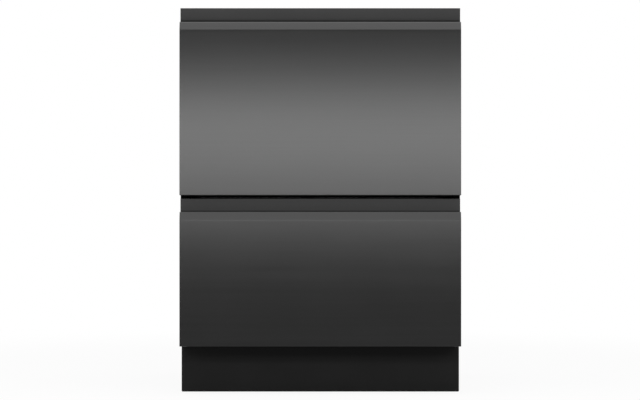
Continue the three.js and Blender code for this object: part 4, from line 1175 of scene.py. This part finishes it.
# ---- Wash system and slides ----
def filter_plate(w):
    """A pierced sheet on polar lines, in three zones with ever more holes, its rolled edge, hub and shaft."""
    floor = FLOOR[w]
    centre = (0, MIDDLE, floor)
    sheet = Surface()
    for inner, outer, count in ((29.5, 58, 96), (58, 98, 192), (98, 143, 288)):
        radii = uneven(inner, outer, 2.6, 3.4)
        turn = np.linspace(0, 2 * math.pi, count, endpoint=False)
        r, a = np.meshgrid(radii, turn, indexing="ij")
        keep = np.ones((len(radii) - 1, count), bool)
        keep[1:-1:2, ::2] = False
        keep[:, np.arange(count) % (count // 6) < count // 48] = True
        height = floor - 0.6 + 0.45 * step((r - 24) / 120)
        sheet.grid(np.stack([r * np.cos(a), MIDDLE + r * np.sin(a), height], -1), around=True, keep=keep)
    make(f"{w}_filter_sheet", sheet, BRIGHT, f"{w}_drawer", wall=0.9)
    solid = Surface()
    rim = [(142.6, -1), (142.6, -0.3), (142.8, -0.1), (143.2, 0), (143.7, 0), (148.1, 0), (148.6, 0),
           (149.3, -0.2), (149.8, -0.7), (150, -1.4), (150, -3), (147, -3), (147, -1)]
    solid.hoop(turned(rim, centre, 120))
    for radius in (58, 98):
        ring = [(-2.2, -1.4), (-1.8, -0.1), (1.8, -0.1), (2.2, -1.4)]
        solid.hoop(turned(np.add(ring, (radius, 0)), centre, 96))
    for i in range(6):
        a = math.radians(i * 60 + 4)
        spoke = [(r * math.cos(a), MIDDLE + r * math.sin(a), floor - 1.0) for r in (28, 60, 100, 145)]
        wire(solid, spoke, 1.0)
    make(f"{w}_filter_frame", solid, BRIGHT, f"{w}_drawer", (f"{w}_filter_plate",))
    hub = Surface()
    top = place(f"{w}_filter_plate")[1][2] - floor
    profile = [(28, -2.8), (28, -0.6), (27.4, 0.2), (25.4, 3), (22.4, 9), (20.6, 12.6), (19.6, 13.8),
               (18, 14), (9, 14), (8, 13.4), (8, top - 1.6), (7.2, top - 0.4), (5.6, top), (2.4, top),
               (2, top - 0.6)]
    grooves = 1 - 0.045 * (np.cos(np.arange(64) * math.pi / 4) > 0.5)
    hub.closed(turned(profile, centre, 64, 2, grooves, slice(3, 6)))
    make(f"{w}_filter_hub", hub, GREY_PLASTIC, f"{w}_drawer", (), 30)


def spray_arm(w):
    """Blades between the curves (1-t)^2 p + 2t(1-t) q + t^2 r, rounded as powers 0.55 of sine and cosine."""
    base = place(f"{w}_spray_arm")[0][2]
    t = np.concatenate([np.linspace(0, 1, 29), np.ones(9)])
    beyond = np.concatenate([np.zeros(29), np.sin(np.linspace(0, QUARTER, 10)[1:])])
    lower = -20 * (1 - t) ** 2 - 68 * t * (1 - t) - 13 * t**2
    upper = 20 * (1 - t) ** 2 + 12 * t * (1 - t) + 13 * t**2
    narrow = np.sqrt(np.clip(1 - beyond**2, 0, 1))
    middle, half = (lower + upper) / 2, (upper - lower) / 2 * narrow
    bulge = np.sign(circle(28)) * np.abs(circle(28)) ** 0.55
    blade = np.empty((len(t), 28, 3))
    blade[..., 0] = (193 * t + 13 * beyond)[:, None]
    blade[..., 1] = middle[:, None] + half[:, None] * bulge[:, 0]
    blade[..., 2] = 4.5 + 4.5 * (0.35 + 0.65 * narrow)[:, None] * bulge[:, 1]
    surface, jets = Surface(), Surface()
    for sign in (1, -1):
        surface.closed(blade * (sign, sign, 1) + (0, MIDDLE, base))
    hub = [(8.3, 0), (26, 0), (27, 0.8), (27, 6.4), (26, 8.2), (23, 9.6), (14.5, 11), (12.6, 11), (9.4, 10.6),
           (8.3, 9.8)]
    surface.hoop(turned(hub, (0, MIDDLE, base), 64))
    make(f"{w}_spray_blades", surface, GREY_PLASTIC, f"{w}_spray_arm", (f"{w}_spray_arm",), 45)
    nozzle = [(4.4, 8.2), (4.1, 9.5), (3.4, 9.9), (2.3, 9.9), (1.9, 9.3), (1.5, 8.4)]
    jet = turned(nozzle, (0, 0, 0), 28) * (1.5, 0.8, 1)
    for share in (0.28, 0.42, 0.56, 0.7, 0.84, 0.96):
        spot = np.array([193 * share, np.interp(share, t[:29], middle[:29]), 0])
        for sign in (1, -1):
            jets.closed(jet + sign * spot + (0, MIDDLE, base), first=False)
    make(f"{w}_spray_jets", jets, BLACK_PLASTIC, f"{w}_spray_arm")


def wash_motor(w):
    """A turned casing whose radius steps in and out as ribs, a pump beside it, and the duct between them."""
    low, high = place(f"{w}_wash_motor")
    bottom, top, under = low[2], high[2], low[2] + 4
    x, y = 118, MIDDLE + 40
    rows = [(30, bottom), (34, bottom + 2.5), (60, bottom + 2.5), (64, bottom), (86, bottom),
            (91, bottom + 1.4), (92.4, bottom + 4), (92.4, bottom + 8), (95, bottom + 9), (95, top - 9),
            (92.4, top - 8), (92.4, top - 5), (95, top - 4.4), (95, top - 0.8), (94.2, top)]
    surface = Surface()
    surface.closed(turned(rows, (0, MIDDLE, 0), 144, 2, 1 - 0.024 * (np.arange(144) % 4 < 2), slice(8, 10)))
    rows = [(22, under), (24, under + 1.6), (28, under + 1.6), (30, under), (32.6, under + 0.4),
            (34, under + 2), (34, top - 11), (33, top - 9), (30, top - 8)]
    surface.closed(turned(rows, (x, y, 0), 64))
    slab(surface, (4, y - 20, under + 1), (x, y + 20, top - 8.4), 3, 5, 5)
    for at in (-14, 0, 14):
        slab(surface, (60, y + at - 1.2, top - 10), (x - 6, y + at + 1.2, top - 8), 0.6, 1)
    make(f"{w}_motor_case", surface, BLACK_PLASTIC, f"{w}_drawer", (f"{w}_wash_motor",), 30)
    heads = []
    circles = ((0, MIDDLE, bottom + 1.2), 76, 6, 3.6), ((x, y, under + 1.6), 26, 4, 2.4)
    for centre, reach, count, radius in circles:
        for i in range(count):
            a = (i + 0.5) * 2 * math.pi / count
            heads.append((np.add(centre, (reach * math.cos(a), reach * math.sin(a), 0)), 2, -1, radius, 1.2))
    screws(f"{w}_motor_screws", f"{w}_drawer", heads)


def slides(w):
    """Middle and inner members as folded channels with end stops and screw heads."""
    z = SLIDE[w]
    for word, side in SIDES.items():
        low, high = place(f"{w}_slide_middle_{word}")
        inner, outer = sorted(np.abs((low[0], high[0])))
        surface, stations = Surface(), np.linspace(low[1], high[1], 7)
        channel(surface, side, outer - 0.75, inner + 0.75, high[2] - low[2], z, stations)
        for y in (low[1] + 3, high[1] - 9):
            slab(surface, (side * (outer - 3.4), y, z - 7), (side * (outer - 1.2), y + 6, z + 7), 0.5, 1)
        make(f"{w}_middle_member_{word}", surface, ZINC, f"{w}_slide_middles", (f"{w}_slide_middle_{word}",))
        low, high = place(f"{w}_slide_inner_{word}")
        inner, outer = sorted(np.abs((low[0], high[0])))
        surface, stations = Surface(), np.linspace(low[1], high[1], 7)
        channel(surface, side, inner + 0.75, outer, high[2] - low[2], z, stations)
        make(f"{w}_inner_member_{word}", surface, ZINC, f"{w}_drawer", (f"{w}_slide_inner_{word}",))
        heads = Surface()
        for s in (110, 230, 350, 470):
            screw(heads, (side * (inner + 1.5), FRONT + s, z), 0, side, 4.4, 1.6)
        x0, x1 = side * (inner + 1.4), side * (inner + 6)
        for s in (46, 531):
            slab(heads, (x0, FRONT + s, z - 9), (x1, FRONT + s + 5, z + 9), 0.8, 1.2)
        make(f"{w}_slide_screws_{word}", heads, STAINLESS, f"{w}_drawer")


for w in DRAWERS:
    filter_plate(w)
    spray_arm(w)
    wash_motor(w)
    slides(w)


# ---- Inner doors, controls and dispensers ----
BUTTONS = {"power": -17.0, "start": 17.0}
BUTTON_WIDTH, BUTTON_DEPTH = 22, 10
BUTTON_Y = FRONT + 45.5
DISPENSER_DROP = 104  # of its middle below the tub's rim
DISPENSER_Y = FRONT + 79.0
FACE = 4.0  # of the dispenser's flange, from its seat
CAP_X = 66


def prism(surface, outline, x0, x1):
    """A solid between two x with a flat outline of depth and height."""
    surface.closed(swept(outline + (FRONT, 0), [x0, x1]))


def inner_door(w):
    """A plate with pressed fields, a folded shell from it over a shoulder to the tub, on ribs, and screws."""
    bottom = place(f"{w}_inner_door")[0][2]
    top = STRIP_TOP[w] - 6
    plate_top = LIP_TOP[w] - 0.3
    ledge = RIM[w] - 6.3
    rise = bottom - 1.5 + (24.5 if w == "upper" else 10)
    across = lines(-297.4, 297.4, 22, (-286, -262, 262, 286), NEAR_FIELD)
    up = lines(bottom, plate_top, 18, (bottom + 12, plate_top - 12), NEAR_FIELD)
    x, z = np.meshgrid(across, up)
    s = 33.0 + 1.0 * pressed(x, z, (-288, bottom + 10), (288, plate_top - 10), 18, 6)
    sheet = Surface()
    sheet.grid(np.stack([x, FRONT + s, z], -1))
    make(f"{w}_door_plate", sheet, GREY_PLASTIC, f"{w}_drawer", (f"{w}_inner_door",), wall=2.4, offset=0)

    shell = Surface()
    line = [(34.6, top - 1.5), (61.5, top - 1.5), (61.5, ledge - 1.5), (75.4, ledge - 1.5)]
    line = rounded(line, [0, 3.2, 3.2, 0], 5)
    shell.folded(swept(band(line, 3.0) + (FRONT, 0), np.linspace(-267.5, 267.5, 13)))
    end = rounded([(34.4, rise), (34.4, top), (63, top), (63, ledge), (75.6, ledge), (75.6, rise)],
                  [0, 2.5, 2.5, 2.5, 2.5, 4], 5, True)
    for side in (-1, 1):
        prism(shell, end, *sorted((side * 267, side * 270)))
    for x in (-214, -160, -107, -54, 54, 107, 160, 214):
        inner = abs(x) < 110
        floor = ledge - 150 if inner and w == "lower" else rise + 4
        rib = [(34.4, floor), (34.4, top - 2), (61, top - 2), (61, ledge - 2),
               (56 if inner else 66, ledge - 2), (56, floor)]
        prism(shell, rounded(rib, [0, 1, 1, 1, 2, 8], 4, True), x - 1, x + 1)
    for z in (rise + 30, rise + 90):
        rib = [(34.4, z - 1), (34.4, z + 1), (54, z + 1), (54, z - 1)]
        prism(shell, rounded(rib, 0.4, 2, True), -266, 266)
    make(f"{w}_door_shell", shell, GREY_PLASTIC, f"{w}_drawer", (), 35)
    heads = []
    for side in (-1, 1):
        for z in (bottom + 24, (bottom + plate_top) / 2, plate_top - 30):
            heads.append(((side * 280, FRONT + 35.2, z), 1, 1, 3.8, 1.2))
        heads.append(((side * 251, FRONT + 68.6, ledge), 2, 1, 3.4, 1.1))
    screws(f"{w}_door_screws", f"{w}_drawer", heads)


def control_strip(w):
    """A gloss strip whose top is a grid without the cells of the button wells, with lamps set in it."""
    z = STRIP_TOP[w]
    across = np.unique(np.concatenate([np.linspace(-268, 268, 25), [-28.3, -5.7, 5.7, 28.3]]))
    deep = FRONT + np.array([31.6, 36, 40.2, 50.8, 55, 59.4])
    x, y = np.meshgrid(across, deep)
    keep, _, middle = cells(deep, across)
    keep[2, np.abs(np.abs(middle) - BUTTONS["start"]) < 11.3] = False
    surface = Surface()
    surface.grid(np.stack([x, y, np.full(x.shape, z)], -1), keep=keep)
    make(f"{w}_control_strip", surface, GLOSS_BLACK, f"{w}_drawer", wall=6.0, bevel=0.5)
    lamps = Surface()
    for x in np.arange(52, 116, 9):
        slab(lamps, (x, BUTTON_Y - 1.2, z - 0.6), (x + 5, BUTTON_Y + 1.2, z + 0.08), 0.2, 1.1)
    make(f"{w}_lamps", lamps, LAMP, f"{w}_drawer")


def button(w, name, x):
    """A key with a dished top, and a raised symbol: a broken ring and bar, or a triangle."""
    node = f"{w}_{name}_button"
    low, high = place(node)
    base, top = low[2], high[2] - 0.1
    rows = [(0.6, 2, base), (0, 2, base + 0.6), (0, 2, top - 0.7), (0.2, 2, top - 0.2), (0.7, 2, top)]
    rows += [(i, 4.9 - i, top - drop) for i, drop in ((1.6, 0.14), (2.8, 0.26), (4.2, 0.34))]
    rows = [(BUTTON_WIDTH - 2 * i, BUTTON_DEPTH - 2 * i, r, z) for i, r, z in rows]
    surface = Surface()
    surface.closed(rings(rows, (x, BUTTON_Y)))
    make(f"{w}_{name}_key", surface, GREY_PLASTIC, node, (node,), 35)
    symbol = Surface()
    if name == "power":
        turn = np.linspace(0.5 * math.pi + 0.6, 2.5 * math.pi - 0.6, 25)
        bar = np.array([(0, 0.4), (0, 1.6), (0, 2.9)])
        signs = [2.4 * np.stack([np.cos(turn), np.sin(turn)], -1), bar]
    else:
        signs = [rounded([(-1.8, -2.2), (2.2, 0), (-1.8, 2.2)], 0.3, 3, True)]
    for path in signs:
        wire(symbol, lifted(path + (x, BUTTON_Y), top - 0.25), 0.32, 6, name == "start")
    make(f"{w}_{name}_symbol", symbol, LAMP, node)


def dispenser(w):
    """Flange, cup and round socket: a face grid around the openings, and rounded rings that line each."""
    z, y, face = RIM[w] - DISPENSER_DROP, DISPENSER_Y, FACE
    across = np.unique(np.concatenate([np.linspace(-104.6, 104.6, 17), [-32, 32], np.linspace(48, 84, 7)]))
    up = np.unique(np.concatenate([np.linspace(-44.6, 44.6, 9), [-28, 28], np.linspace(-18, 18, 7)]))
    keep, mid_v, mid_x = cells(up, across)
    keep[np.ix_(np.abs(mid_v) < 28, np.abs(mid_x) < 32)] = False
    keep[np.ix_(np.abs(mid_v) < 18, np.abs(mid_x - CAP_X) < 18)] = False
    x, v = np.meshgrid(across, up)
    surface = Surface()
    surface.grid(np.stack([x, np.full(x.shape, y + face), z + v], -1), keep=keep)
    edge = [(209.2, 89.2, 0.01, face), (211.2, 91.2, 0.9, face - 0.35), (212, 92, 1.2, face - 1.2),
            (212, 92, 1.2, 0.4)]
    cup = [(64, 56, 0.01, face), (64, 56, 1.0, face - 1.0), (63.2, 55.2, 6, face - 2.2),
           (62.4, 54.4, 6, face - 13.5), (60.6, 52.6, 6, face - 16.6), (56, 48, 4, face - 17.8)]
    back = [(197.4, 77.4, 6, 0.4), (197.4, 77.4, 6, -17.4), (194, 74, 5, -20)]
    surface.grid(upright(edge, z, y), around=True)
    surface.closed(upright(cup, z, y), first=False)
    turn = circle(48)
    square = 18 / np.abs(turn).max(1)  # from the square opening in the face to the round socket
    bowl = (square, face), (16.4, face), (15.2, face - 0.6), (15.2, face - 6.6), (12, face - 7)
    socket = []
    for reach, depth in bowl:
        around = CAP_X + reach * turn[:, 0], np.full(48, y + depth), z + reach * turn[:, 1]
        socket.append(np.stack(around, -1))
    surface.closed(np.stack(socket), first=False)
    surface.closed(upright(back, z, y), first=False)
    make(f"{w}_dispenser_body", surface, GREY_PLASTIC, f"{w}_drawer", (f"{w}_dispenser",), 35)
    rails = Surface()
    for level in (z - 33.6, z + 33.6):
        slab(rails, (-103, y + face - 0.4, level - 0.9), (37, y + face + 0.9, level + 0.9), 0.4, 0.7)
    for sx, sz in CORNERS:
        screw(rails, (sx * 96, y + face, z + sz * 38), 1, 1, 3.0, 1.0)
    make(f"{w}_dispenser_rails", rails, STAINLESS, f"{w}_drawer")


def dispenser_door(w):
    """The cup's cover: a slab with rounded edges, a raised border and a ribbed grip bar."""
    node = f"{w}_dispenser_door"
    low, high = place(node)
    z, y = (low[2] + high[2]) / 2, low[1]
    rows = [(0.5, 3, 0), (0, 3.5, 0.5), (0, 3.5, 2.4), (0.3, 3.2, 2.9), (0.7, 3, 3.0), (3, 3, 3.0),
            (3.5, 3, 2.5), (4, 3, 2.4)]
    surface = Surface()
    surface.closed(upright([(72 - 2 * i, 64 - 2 * i, r, depth) for i, r, depth in rows], z, y))
    slab(surface, (24, y + 2, z - 25), (29, y + 6, z + 25), 1.2, 2.2, 4)
    for v in np.linspace(-20, 20, 9):
        slab(surface, (23.4, y + 3, z + v - 0.7), (29.4, y + 5.6, z + v + 0.7), 0.3, 0.6)
    make(f"{w}_dispenser_cover", surface, GREY_PLASTIC, node, (node,), 35)


def rinse_cap(w):
    """A turned cap with a knurled edge, its plug and its bar."""
    z, y = RIM[w] - DISPENSER_DROP, DISPENSER_Y + FACE + 0.3
    rows = [(13.4, -6.7), (14.5, -6), (14.5, -0.4), (17.4, 0), (18, 0.5), (18, 2.3), (17.2, 2.9), (15, 3),
            (14.2, 2.4), (6, 2.2)]
    knurl = 1 - 0.028 * (np.arange(96) % 4 < 2)
    surface = Surface()
    surface.closed(turned(rows, (CAP_X, y, z), 96, 1, knurl, slice(4, 6)))
    slab(surface, (CAP_X - 14.2, y + 2, z - 3), (CAP_X + 14.2, y + 7, z + 3), 1.2, 1.4, 4)
    make(f"{w}_rinse_knob", surface, BLACK_PLASTIC, f"{w}_rinse_cap", (f"{w}_rinse_cap",), 35)


for w in DRAWERS:
    inner_door(w)
    control_strip(w)
    for name, x in BUTTONS.items():
        button(w, name, x)
    dispenser(w)
    dispenser_door(w)
    rinse_cap(w)
